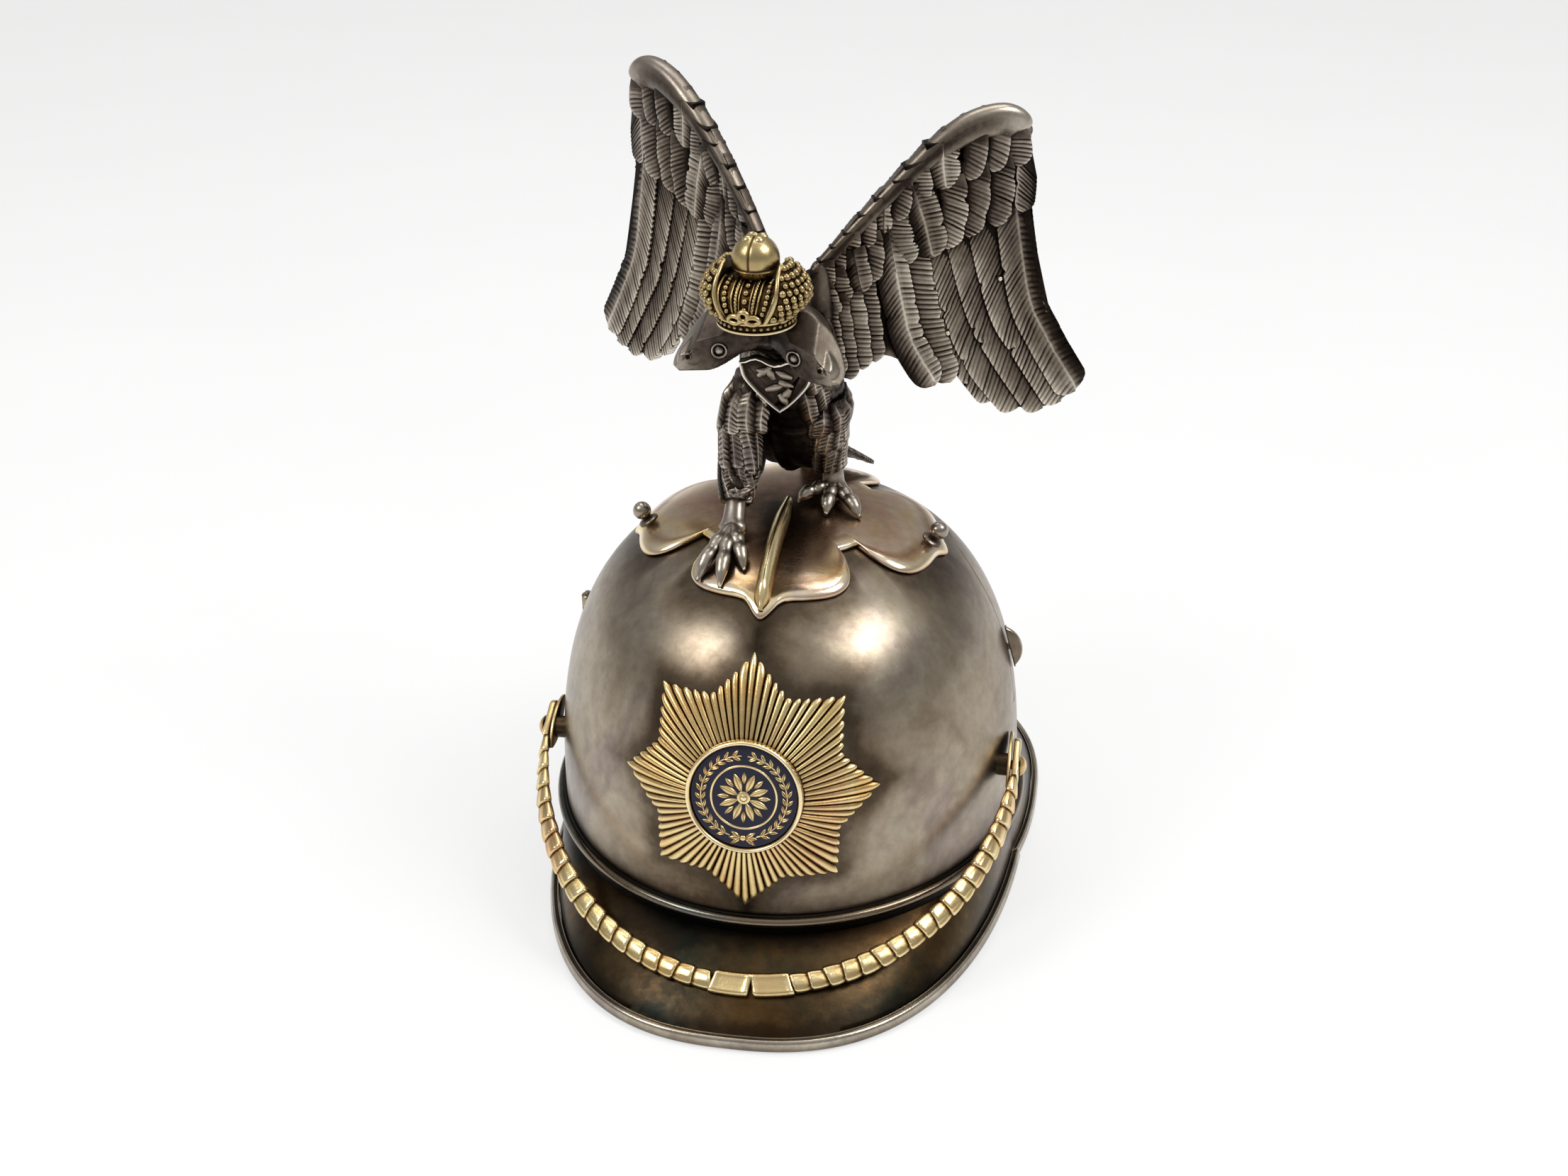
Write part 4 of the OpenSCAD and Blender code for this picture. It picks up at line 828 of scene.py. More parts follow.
def on_medallion(p):
    """Frame of the medallion: z points out of the star"""
    p = np.asarray(p, float)
    y = p[..., 1] * sind(star_tilt) - p[..., 2] * cosd(star_tilt)
    z = p[..., 1] * cosd(star_tilt) + p[..., 2] * sind(star_tilt)
    return np.stack([p[..., 0], y + float(skull_y(0, STAR_Z)), z + STAR_Z], -1)


def enamel_height(r):
    return ENAMEL_TOP - 0.07 + 0.1 * (1 - (np.minimum(r, ENAMEL_R) / ENAMEL_R) ** 2)


def make_medallion():
    """Cup with a stepped rim, and the domed enamel in it"""
    shape = Shape()
    out, inn, top = CUP_R, ENAMEL_R + SEAT, CUP_H
    section = [[0, 0.15], [out - 0.2, 0.15], [out, 0.35], [out, 0.95], [out - 0.16, 1.05], [out - 0.16, 1.15],
               [out, 1.25], [out, top - 0.35], [out - 0.1, top - 0.1], [out - 0.3, top],
               [out - 0.5, top - 0.04], [inn + 0.02, top - 0.3], [inn, CUP_FLOOR], [0, CUP_FLOOR]]
    wear_and_shading = [0.2, 0.2, 0.3, 0.7, 0.1, 0.1, 0.6, 0.85, 1, 1, 0.9, 0.5, 0.2, 0.2]
    shape.lathe(section, on_medallion, 128, wear_and_shading)
    build(shape, "bezel", gilt, nodes=("medallion_cup",), sharp=45)

    disc = Shape()
    low = CUP_FLOOR + SEAT
    rim = [[0, low], [ENAMEL_R, low], [ENAMEL_R, ENAMEL_TOP - 0.22], [ENAMEL_R - 0.08, ENAMEL_TOP - 0.08]]
    dome = [[r, enamel_height(r) + 0.02] for r in np.linspace(ENAMEL_R - 0.3, 0, 12)]
    disc.lathe(rim + dome, on_medallion, 96)
    build(disc, "enamel_field", enamel, nodes=("enamel_disc",), sharp=45)


def add_leaf(shape, x, y, turn, length, width, high=0.2):
    """Small pointed leaf of the gilt ornament, with a crease along its middle"""
    t = np.linspace(0, 1, 9)[:, None]
    s = np.linspace(-1, 1, 7)[None]
    across = width / 2 * np.sin(np.pi * np.clip(t, 0.02, 0.98)) ** 0.8 * s
    px = x + length * t * cosd(turn) - across * sind(turn)
    py = y + length * t * sind(turn) + across * cosd(turn)
    base = enamel_height(np.hypot(px, py))
    swell = (1 - s ** 2) ** 0.5 * np.sin(np.pi * np.clip(t, 0.03, 0.97)) ** 0.4
    top = base + 0.05 + high * swell - 0.09 * bump(s, 0.18)
    sheets = [on_medallion(np.stack([px, py, z], -1)) for z in (top, base - 0.12)]
    shape.slab(*sheets, 0.75 - 0.4 * bump(s, 0.2))


def add_band(shape, line, half, high=0.2, closed=False):
    """Raised gilt line on the enamel along points [x, y]"""
    step = np.roll(line, -1, 0) - np.roll(line, 1, 0) if closed else np.gradient(line, axis=0)
    side = unit(np.stack([-step[:, 1], step[:, 0]], -1))
    section = [(-1, -0.12), (-1, 0.06), (-0.6, 0.8 * high), (0, high), (0.6, 0.8 * high), (1, 0.06),
               (1, -0.12)]
    rings = []
    for c, n in zip(line, side):
        base = enamel_height(np.hypot(*c))
        rings.append([[*(c + n * half * k), base + h] for k, h in section])
    wear_and_shading = [0.1, 0.4, 0.8, 0.9, 0.8, 0.4, 0.1]
    shape.tube(on_medallion(rings), np.tile(wear_and_shading, len(line)), close=closed)


LAUREL_LEAVES, LAUREL_START, LAUREL_STEP, LEAF_LEAN = 13, -66, 11.6, 34


def make_motif():
    """Generic ornament: a ring, a laurel wreath with a bow, and a leafy rosette"""
    shape = Shape()
    a = degrees_round(120)
    add_band(shape, np.column_stack([RING_R * cosd(a), RING_R * sind(a)]), 0.2, closed=True)
    mid = mix(RING_R, ENAMEL_R, 0.5)
    for side in (-1, 1):
        stem = np.linspace(-72, 86, 60)
        add_band(shape, np.column_stack([side * mid * cosd(stem), mid * sind(stem)]), 0.11, 0.14)
        for i in range(LAUREL_LEAVES):
            at = LAUREL_START + LAUREL_STEP * i
            ahead = at + 90 if side > 0 else 90 - at
            for lean in (-LEAF_LEAN, LEAF_LEAN):
                add_leaf(shape, side * mid * cosd(at), mid * sind(at), ahead + lean, 1.5, 0.62)
        for turn in (-LEAF_LEAN, 0, LEAF_LEAN):
            add_leaf(shape, side * 0.35, -mid, turn if side > 0 else 180 - turn, 1.9, 0.7)
    shape.lathe([[0, 1.3], [0.5, 1.3], [0.5, 1.62], [0.3, 1.8], [0, 1.85]],
                lambda p: on_medallion(p + [0, -mid, 0]), 20, [0.3, 0.3, 0.6, 0.8, 0.8])
    for i in range(8):
        for turn, out, length, width, high in ((45 * i + 22.5, 1.0, 3.1, 1.25, 0.26),
                                               (45 * i, 2.3, 1.9, 0.8, 0.22)):
            add_leaf(shape, out * cosd(turn), out * sind(turn), turn, length, width, high)
    centre = [[0, 1.35], [1.05, 1.35], [1.05, 1.72], [0.85, 1.86], [0.55, 1.8], [0.4, 1.95], [0, 2.02]]
    shape.lathe(centre, on_medallion, 40, [0.2, 0.2, 0.6, 0.9, 0.4, 0.9, 0.95])
    build(shape, "medallion_ornament", gilt, nodes=("medallion_motif",), sharp=50)


# Crest plate with its keel and ball nuts

PLATE_THICK, KEEL_W, KEEL_H, BALL_R, BALL_X, BALL_Y = 0.9, 1.5, 2.3, 1.55, 23.6, -0.9
PLATE_TOP, PLATE_COLS, PLATE_RIM = PLATE_SEAT + PLATE_THICK, 560, 2.4


def soft_edge(edge, reach=45):
    """Outline with its cusps rounded off, for the rounded rim inside it"""
    smoothed = edge.copy()
    for _ in range(reach):
        smoothed = (np.roll(smoothed, 1) + smoothed + np.roll(smoothed, -1)) / 3
    return np.minimum(smoothed, edge + 0.25)


def plate_top(x, y):
    return skull_z(x, y, PLATE_TOP)


def plate_wear_and_shade(x, y, share):
    """Bright towards the arms' ends, and darker round the middle under the eagle and along the keel, as
    tarnish and painted shade
    """
    # Tarnish and painted shade: darker under the eagle's body and feet and beside the keel.
    tarnish_and_shade = 0.34 * bump(np.hypot(x + 3, y + 4), 9) + 0.22 * bump(np.abs(x) - 0.5, 3.0) * (y < 0)
    arms = mix(0.44, 0.72, smooth(8, 19, np.abs(x) + 0.5 * np.abs(y)))
    return arms + 0.08 * smooth(0.7, 0.94, share) - 0.62 * tarnish_and_shade


def make_crest_plate():
    a = degrees_round(PLATE_COLS)
    edge = plate_edge(a)
    drawn = soft_edge(edge)
    rows, wears = [], []

    def add_row(r, d, wear_and_shading):
        x, y = r * cosd(a), r * sind(a)
        rows.append(np.stack([x, y, skull_z(x, y, d)], -1))
        wears.append(wear_and_shading(x, y) if callable(wear_and_shading) else np.full(PLATE_COLS, wear_and_shading))

    for inset, d, wear_and_shading in ((0.0, PLATE_SEAT + 0.1, 0.3), (0.0, PLATE_SEAT + 0.35, 0.8),
                           (0.12, PLATE_TOP - 0.3, 1.0), (0.4, PLATE_TOP - 0.12, 1.0),
                           (0.9, PLATE_TOP - 0.03, 0.9), (1.6, PLATE_TOP, 0.72),
                           (PLATE_RIM, PLATE_TOP, 0.55)):
        add_row(mix(edge, drawn, min(1, inset / 0.4)) - inset, d, wear_and_shading)
    for share in np.linspace(0.94, 0.02, 24):
        add_row((drawn - PLATE_RIM) * share, PLATE_TOP, lambda x, y: plate_wear_and_shade(x, y, share))
    for share in np.linspace(0.02, 1, 8):
        add_row((edge - 0.1) * share, PLATE_SEAT, 0.2)
    shape = Shape()
    shape.tube(rows, np.concatenate(wears), close=True)
    build(shape, "crest_leaf", leaf_gilt, nodes=("crest_plate",), sharp=50)


def make_keel():
    """Rounded blade along the middle of the plate, highest near its front end"""
    t = np.linspace(0, 1, 60)
    y = mix(-1.0, 0.3 - PLATE_TIP, t)
    base = plate_top(0, y) + 0.1
    high = (KEEL_H + 0.35) * (0.3 + 0.7 * np.sin(np.radians(mix(20, 118, t))) ** 0.8)
    high = high * np.sqrt(np.maximum(0.06, 1 - smooth(0.9, 1, t)))
    wide = (KEEL_W + 1.1) / 2 * (0.6 + 0.4 * smooth(0, 0.25, t))
    wide = wide * np.sqrt(np.maximum(0.12, 1 - smooth(0.92, 1, t)))
    side = [(-1, 0), (-0.98, 0.2), (-0.84, 0.5), (-0.55, 0.8), (-0.25, 0.96)]
    section = [*side, (0, 1), *((-k, v) for k, v in reversed(side))]
    rings = [[[w * k, at, b + h * v] for k, v in section] for at, b, h, w in zip(y, base, high, wide)]
    shape = Shape()
    # Across the blade from its left foot to its right foot: the crest is rubbed bright, and the right flank
    # is painted lighter than the left as a painted highlight.
    shape.tube(rings, np.tile([0.1, 0.3, 0.5, 0.62, 0.75, 0.85, 0.9, 0.85, 0.7, 0.4, 0.2], len(t)))
    build(shape, "crest_blade", gilt, nodes=("crest_keel",), sharp=60)


def stand_on(at, out):
    """Frame with its z axis along out"""
    out = unit(out)
    side = unit(np.cross([0, 1, 0], out))
    return framed(at, side, np.cross(out, side), out)


def make_ball_studs():
    """Ball nuts on collars, screwed down on the plate's side arms"""
    foot = PLATE_TOP + 0.1
    mid, low, pin = foot + 0.5 + BALL_R, -WALL - 2.2, 0.75
    ball = [[BALL_R * cosd(h), mid + BALL_R * sind(h)] for h in np.linspace(-62, 90, 16)]
    section = [[0, low], [pin, low], [pin, foot - 0.05], [1.75, foot - 0.05], [1.8, foot + 0.1],
               [1.55, foot + 0.32], [1.1, foot + 0.45], [0.82, foot + 0.6], *ball]
    wear_and_shading = [0.3, 0.3, 0.2, 0.3, 0.6, 0.5, 0.3, 0.1, *np.linspace(0.5, 0.95, 16)]
    shape = Shape()
    for s in (-1, 1):
        at = np.array([s * BALL_X, BALL_Y, float(skull_z(BALL_X, BALL_Y))])
        shape.lathe(section, stand_on(at, skull_out(at)), 40, wear_and_shading)
    build(shape, "ball_nuts", trim_silver, nodes=("ball_studs",), sharp=50)


# Chin chain

PIVOT_Y, PIVOT_Z = -13.2, 26.3
BOSS_X = float(skull_x(PIVOT_Y, PIVOT_Z))
PLATE_OFF, BOSS_THICK, LINK_THICK, FACE_GAP = 1.25, 0.6, 1.2, 0.2
LINK_OFF = PLATE_OFF + BOSS_THICK + FACE_GAP
HEAD_OFF = LINK_OFF + LINK_THICK + FACE_GAP
CHAIN_REACH, CHAIN_W, CHAIN_SCALES, CHAIN_BACK, CHAIN_TWIST = 44.8, 3.6, 19, 0.5, 74.0
CHAIN_HALF = BOSS_X + LINK_OFF + LINK_THICK / 2
LINK_LEN, LINK_BACK, JOINT_X, CLASP_LEN = 2.8, 5.0, 2.4, 6.4
VISOR_REACH = 16.8
HEAD_R, HEAD_H = 1.75, 1.0
ACROSS = np.sin(np.radians(np.linspace(-90, 90, 17)))
UNDERSIDE = (0.97, 0.5, 0, -0.5, -0.97)


def chain_lean_angle():
    """Lean at which the middle of the chain rests just over the visor"""
    lean = 24.0
    for _ in range(8):
        y = -PIVOT_Y + CHAIN_REACH * cosd(lean)
        u = (y - FRONT - BAND_OUT) / (VISOR_REACH - VISOR_TRIM_W - BAND_OUT)
        visor = mix(BRIM_TOP, VISOR_TRIM_H - BRIM_SEAT, u) + BRIM_BULGE * sind(180 * u)
        lean = math.degrees(math.asin((PIVOT_Z - visor - 1.15 * (0.3 + CHAIN_BACK)) / CHAIN_REACH))
    return lean


lean = chain_lean_angle()
chain_down = np.array([0, -cosd(lean), -sind(lean)])
chain_up = np.array([0, -sind(lean), cosd(lean)])


def chain_frame(s, f):
    """Middle of the chain, its face and its width direction at the angle f"""
    c = np.array([s * CHAIN_HALF * cosd(f), PIVOT_Y, PIVOT_Z]) + CHAIN_REACH * sind(f) * chain_down
    along = unit(np.array([-s * CHAIN_HALF * sind(f), 0, 0]) + CHAIN_REACH * cosd(f) * chain_down)
    out = unit(np.array([s * CHAIN_REACH * cosd(f), 0, 0]) + CHAIN_HALF * sind(f) * chain_down)
    g = CHAIN_TWIST * abs(sind(f)) ** 0.6 * smooth(0, 0.2, abs(sind(f)))
    face = unit(out * cosd(g) + chain_up * sind(g))
    return c, face, np.cross(along, face)


def chain_ring(s, f, w, height, skew):
    """Ring of points round the chain: height is a function of the place across, from -1 to 1"""
    c, face, wide = chain_frame(s, f)
    side = wide * w / 2 + np.cross(face, wide) * skew
    top = [c + side * x + face * height(x) for x in ACROSS]
    return np.array(top + [c + side * x - face * CHAIN_BACK for x in UNDERSIDE])


def ring_wear(face):
    return np.concatenate([np.broadcast_to(face, len(ACROSS)), np.full(len(UNDERSIDE), 0.2)])


def scale_height(t, x):
    """Height of a scale at t along it and x across it: domed, lipped at its free end, with a soft crease"""
    swell = mix(0.52, 1.0, t ** 0.8) * math.sqrt(0.4 + 0.6 * max(0.0, 1 - max(0, (t - 0.9) / 0.1) ** 2))
    side = max(0.0, 1 - abs(x) ** 3.2) ** 0.5
    crease = 0.14 * bump(abs(x) - 0.52, 0.12) * smooth(0.1, 0.5, t)
    return float(-0.15 + (swell * 1.02 + 0.15) * side - crease)


def make_chain(side_name, s, last):
    """Row of scales of one half of the chain, each with its own width and slant"""
    first = math.degrees(math.asin((LINK_LEN + 0.1) / CHAIN_REACH))
    angles = np.linspace(first, last, CHAIN_SCALES + 1)
    rings, wears = [], []
    skews = [0.0, *(rng.uniform(-0.4, 0.4) for i in range(CHAIN_SCALES - 1)), 0.35]
    for i in range(CHAIN_SCALES):
        w = CHAIN_W * (1 - 0.1 * smooth(0.8, 1, i / (CHAIN_SCALES - 1))) * rng.uniform(0.95, 1.03)
        for t in (0.0, 0.06, 0.2, 0.4, 0.6, 0.78, 0.9, 0.96, 1.0):
            f = mix(angles[i] + 0.02, angles[i + 1] - 0.02, t)
            flare = w * (0.86 + 0.14 * math.sin(math.pi / 2 * min(1, t * 1.6)) - 0.1 * smooth(0.88, 1, t))
            skew = mix(skews[i], skews[i + 1], t)
            rings.append(chain_ring(s, f, flare, lambda x: scale_height(t, x), skew))
            edge = 0.26 if t < 0.1 else 0.55 + 0.3 * t - 0.2 * (t > 0.98)
            wears.append(ring_wear(edge - 0.2 * bump(np.abs(ACROSS) - 0.52, 0.1)))
    shape = Shape()
    shape.tube(rings, np.concatenate(wears))
    build(shape, "scales_" + side_name, gilt, "chin_chain", ("chin_scales_" + side_name,), 60)


def make_clasp(side_name, s, start, end):
    """Plain end plate with a raised border"""
    rings, wears = [], []
    for t in [0, 0.03, 0.08, 0.14, *np.linspace(0.2, 0.8, 7), 0.88, 0.94, 0.98, 1.0]:
        closing = math.sqrt(max(0.05, 1 - max(0, (abs(t - 0.5) - 0.44) / 0.065) ** 2))
        rim = bump(min(t, 1 - t) - 0.06, 0.05)

        def height(x):
            side = max(0.0, 1 - abs(x) ** 5) ** 0.5 * (0.55 + 0.45 * closing)
            return float(0.1 + (0.62 + 0.16 * rim) * side + 0.14 * bump(abs(x) - 0.72, 0.16))

        w = CHAIN_W * 1.06 * (0.9 + 0.1 * closing)
        rings.append(chain_ring(s, mix(start, end, t), w, height, 0.35 * s))
        wears.append(ring_wear(0.62 + 0.25 * rim))
    shape = Shape()
    shape.tube(rings, np.concatenate(wears))
    build(shape, "end_plate_" + side_name, gilt, "chin_chain", ("chin_clasp_" + side_name,), 55)


def beside_pivot(s, d):
    """Frame beside a pivot: x runs back along the chain, y across it and z out of the skull"""
    at = np.array([s * (BOSS_X + d), PIVOT_Y, PIVOT_Z])
    return framed(at, -chain_down, chain_up, np.array([s, 0, 0]))


def make_bosses():
    """Leaf-shaped plates on the skull and the rivets on which the chain turns"""
    t = np.concatenate([np.linspace(0, 1, 25), np.linspace(1, 0, 25)[1:-1]])
    side = np.where(np.arange(len(t)) < 25, 1, -1)
    wide = 2.4 * np.sin(np.pi * np.clip(t, 0.004, 0.996)) ** 0.7
    outline = np.column_stack([mix(-4.6, 6.6, t), side * wide])
    leaves, rivets = Shape(), Shape()
    ball = (HEAD_R ** 2 + HEAD_H ** 2) / (2 * HEAD_H)
    arc = np.linspace(math.degrees(math.asin(HEAD_R / ball)), 0, 12)
    head = [[ball * sind(a), HEAD_OFF + HEAD_H - ball + ball * cosd(a)] for a in arc]
    section = [[0, -2.55], [1.5, -2.55], [1.5, -1.9], [0.8, -1.85], [0.8, HEAD_OFF], [1.7, HEAD_OFF], *head]
    wear_and_shading = [0.3, 0.3, 0.3, 0.2, 0.2, 0.3, *np.linspace(0.4, 0.9, 12)]
    for s in (-1, 1):
        leaves.plate(outline, [0, 0.05, 0.42, 0.56, 0.6, 0.45, 0.42], [0.05, 0, 0, 0.1, 0.3, 0.55, 0.75],
                     beside_pivot(s, PLATE_OFF), [0.2, 0.4, 0.8, 1, 0.9, 0.3, 0.5])
        rivets.lathe(section, stand_on(np.array([s * BOSS_X, PIVOT_Y, PIVOT_Z]), [s, 0, 0]), 36, wear_and_shading)
    build(leaves, "boss_leaves", gilt, nodes=("boss_plates",), sharp=50)
    build(rivets, "rivets", gilt, nodes=("chin_rivets",), sharp=50)


def make_link(side_name, s):
    """First link of the chain, which turns on the rivet"""
    w = CHAIN_W / 2
    back = [[LINK_BACK - 1.9 + 1.9 * cosd(a), w * sind(a)] for a in np.linspace(-78, 78, 17)]
    outline = [[-LINK_LEN, 0.88 * w], [-LINK_LEN, -0.88 * w], [-1.4, -w], *back, [-1.4, w]]
    shape = Shape()
    shape.plate(outline, [0, 0.15, 0.85, 1.1, 1.2, 1.02, 1.0], [0.1, 0, 0, 0.12, 0.32, 0.5, 0.7],
                beside_pivot(s, LINK_OFF), [0.2, 0.4, 0.8, 1, 0.9, 0.4, 0.6])
    build(shape, "end_link_" + side_name, gilt, "chin_chain", ("chin_link_" + side_name,), 50)


def chain_angle(x):
    """Angle at which the chain's middle line is x from the middle plane"""
    return math.degrees(math.acos(x / CHAIN_HALF))


def make_chin_chain():
    left_last, right_last = (chain_angle(CLASP_LEN + x) for x in (-JOINT_X, JOINT_X))
    make_chain("left", -1, left_last)
    make_chain("right", 1, right_last)
    make_clasp("left", -1, left_last + 0.06, chain_angle(0.1 - JOINT_X))
    make_clasp("right", 1, right_last + 0.06, chain_angle(0.1 + JOINT_X))
    make_bosses()
    make_link("left", -1)
    make_link("right", 1)


# Eagle, in its own frame that is turned on the skull

EAGLE_TURN, EAGLE_X = 8.0, 0.7
PERCH = float(plate_top(0, 0))
WING_ROOT, WING_SWEEP, WING_BONE, WING_RAISE, WING_CAMBER = 2.5, 32.0, 2.6, 3.6, 1.4


def eagle(p):
    """Places in the eagle's frame, turned on the skull"""
    p = np.asarray(p, float)
    x = p[..., 0] * cosd(EAGLE_TURN) + p[..., 1] * sind(EAGLE_TURN) + EAGLE_X
    y = -p[..., 0] * sind(EAGLE_TURN) + p[..., 1] * cosd(EAGLE_TURN)
    return np.stack([x, y, p[..., 2]], -1)


def from_eagle(p):
    """Place in the eagle's frame, with heights above the perch"""
    x, y = p[:, 0] - EAGLE_X, p[:, 1]
    return np.stack([x * cosd(EAGLE_TURN) - y * sind(EAGLE_TURN), x * sind(EAGLE_TURN) + y * cosd(EAGLE_TURN),
                     p[:, 2] - PERCH], -1)


def path_length(path):
    return float(np.sum(np.linalg.norm(np.diff(path, axis=0), axis=1)))


FEATHER_STEPS, ROWS_PER_BARB = 60, 3


def feather_columns(shaft):
    """Places across a feather from -1 to 1, close together at the shaft and the rims"""
    if abs(shaft) > 0.7:
        return np.sin(np.radians(np.linspace(-90, 90, 9)))
    left, right = np.linspace(-0.93, shaft - 0.11, 4), np.linspace(shaft + 0.11, 0.93, 4)
    return np.concatenate([[-1], left, [shaft], right, [1]])


def feather(shape, place, line, half, high, low=0.0, shaft=0.0, tilt=0.0, ridge=0.0, barb=0.8, depth=0.17,
            slants=(1.2, 0.4), tip=0.55, root=0.6, splits=2, lobes=0, sink=0.0, painted_light=0.0):
    """Feather engraved with slanting barbs, along a line in the plane of place(a, b, q)"""
    run = np.linspace(0, 1, FEATHER_STEPS)
    dense = along_path(line, FEATHER_STEPS) if len(line) > 2 else mix(np.array(line[0]), np.array(line[1]),
                                                                      run[:, None])
    length = path_length(dense)
    rows = max(12, ROWS_PER_BARB * int(round(length / barb)) + 1)
    s = feather_columns(shaft)[None]
    t0 = np.linspace(0, 1, rows)[:, None]
    slant = np.where(s < shaft, slants[0], slants[1]) * half / length
    t = np.clip(t0 + slant * np.abs(s - shaft) * np.sqrt(1 - t0) * (t0 > 0), 0, 1)
    cx, cz, tx, tz = (np.interp(t.reshape(-1), run, row) for row in (*dense.T, *np.gradient(dense, axis=0).T))
    norm = np.hypot(tx, tz)
    end = np.clip((1 - t) * length / (2 * half * tip), 0, 1)
    width = root + (1 - root) * np.sin(np.clip(t / 0.4, 0, 1) * np.pi / 2)
    width = width * (0.06 + 0.94 * np.sqrt(1 - (1 - end) ** 2))
    if lobes:
        width = width * (0.84 + 0.16 * np.abs(np.sin(np.pi * lobes * t)) ** 0.6)
    for _ in range(splits):
        where, cut, side = rng.uniform(0.3, 0.9), rng.uniform(0.12, 0.25), rng.choice([-1, 1])
        width = width * (1 - cut * bump(t - where, 0.35 / length) * (s * side > 0))
    off = (s * half * width).reshape(-1)
    a, b = cx - tz / norm * off, cz + tx / norm * off
    stroke = np.array([[rng.uniform(0.25, 1.0) for side in range(2)] for row in range(rows)])
    cut_row = (np.arange(rows) % ROWS_PER_BARB == 0)[:, None]
    stroke = np.where(s < shaft, stroke[:, :1], stroke[:, 1:]) * cut_row
    groove = stroke * smooth(0.02, 0.2, np.abs(s - shaft)) * (t0 > 0) * (t0 < 1)
    spine = bump(s - shaft, 0.1) if ridge else 0 * s
    proud = s * np.sign(tilt)
    lift = high + tilt * s - 0.12 * s ** 2 - 0.1 * np.abs(s) ** 8 + ridge * spine * (1 - 0.5 * t)
    lift = lift - depth * groove - 0.3 * (1 - end) ** 3 - sink * (1 - smooth(0, 0.4, t0))
    # Wear with painted light: the raised side of each feather is painted lighter as a painted highlight, and
    # the side tucked under its neighbour darker as painted shade.
    wear_and_shading = 0.46 + 0.09 * rng.uniform(-1, 1) + 0.2 * proud + 0.34 * spine + 0.2 * np.maximum(0, proud) ** 6
    wear_and_shading = (wear_and_shading - 0.2 * smooth(0.35, 1, -proud)) * (1 - 0.85 * groove)
    # Darker towards the root and lighter at the tip; the last term lifts a whole feather's colour as painted
    # light.
    wear_and_shading = wear_and_shading * mix(0.45 + painted_light, 1, smooth(0.0, 0.22, t0)) + 0.16 * smooth(0.88, 1, t) + painted_light
    top, under = (place(a, b, q).reshape(rows, -1, 3) for q in (lift.reshape(-1), np.full(len(a), low)))
    shape.slab(top, under, np.clip(wear_and_shading, 0.02, 1))


# Lines in the wing's plane are lists of [out, up] points
BONE_LINE = [[0.6, 41.2], [6.5, 47.3], [13.8, 54.6], [19.9, 60.2], [26, 64], [32, 65], [36, 62.9],
             [37.1, 58.6]]
FEATHER_LINE = [[5.5, 21.8], [9, 23.4], [13, 25], [18, 22.4], [22.2, 19.6], [26.3, 20], [31.5, 15.7],
                [38, 13], [43.7, 13.7], [46, 17], [44.4, 24], [40.8, 32.5], [37.2, 41], [35.6, 49],
                [36.6, 54.6]]
WING_OUT, WING_UP, FIT_POWER = 46, 65, 6


def wing_terms(a, b):
    """Powers of a place in the wing's plane, for smooth fits of its hollow and its depth below the bone"""
    x, y = np.asarray(a, float) / WING_OUT, np.asarray(b, float) / WING_UP
    return np.stack([x ** i * y ** j for i in range(FIT_POWER) for j in range(FIT_POWER - i)], -1)


def fit_wing():
    u, v = np.meshgrid(np.linspace(0, 1, 60), np.linspace(0, 1, 30), indexing="ij")
    place = mix(curve(BONE_LINE, u), curve(FEATHER_LINE, u), v[..., None]).reshape(-1, 2)
    hollow = (WING_CAMBER * np.sin(np.pi * v) * (1 - 0.5 * u)).reshape(-1)
    terms = wing_terms(*place.T)
    return [np.linalg.lstsq(terms, values, rcond=None)[0] for values in (hollow, v.reshape(-1))]


wing_hollow, wing_depth = fit_wing()


def wing_place(s, face=1):
    """Placing function of a wing on side s: a out from the root, b up from the perch, q out of its face"""

    def place(a, b, q):
        a, b = np.asarray(a, float), np.asarray(b, float)
        terms = wing_terms(a, b)
        off = face * q - terms @ wing_hollow
        depth = np.clip(terms @ wing_depth, 0, 1)
        up = WING_RAISE * np.sin(np.pi / 2 * np.clip(a / 15, 0, 1)) * (1 - 0.4 * depth) if s < 0 else 0
        return eagle(np.stack([s * (WING_ROOT + a * cosd(WING_SWEEP) + off * sind(WING_SWEEP)),
                               a * sind(WING_SWEEP) - off * cosd(WING_SWEEP), PERCH + b + up], -1))
    return place


# Feathers of a wing, each with its line and half width. The flight feathers go from the wing's tip inwards.
PRIMARIES = [([[33.2, 54], [36.8, 34], [40.7, 25.2], [46.4, 15.6]], 3.2),
             ([[27.4, 53], [33.0, 32.4], [37.4, 24.4], [44.0, 14.0]], 2.9),
             ([[23.6, 52], [29.2, 32.4], [33.6, 23.8], [40.8, 13.1]], 2.9),
             ([[20.6, 51], [25.6, 33], [29.4, 23.5], [36.6, 13.8]], 3.2),
             ([[18.0, 49], [23.4, 33], [26.4, 24.2], [32.2, 15.8]], 2.8)]
SECONDARIES = [([[12.6, 47], [15.3, 34], [17.2, 26.8], [21.3, 19.5]], 2.8),
               ([[16.8, 46], [19.8, 32], [21.6, 26], [24.0, 19.5]], 2.6)]
TERTIALS = [([[9.4, 39], [10.4, 32], [11.2, 24.4]], 2.0), ([[7.2, 38], [8.4, 31], [9.0, 23.4]], 1.9),
            ([[5.2, 36.5], [6.1, 29], [6.9, 22.0]], 1.8), ([[3.4, 35], [4.2, 28.5], [5.2, 22.8]], 1.7)]
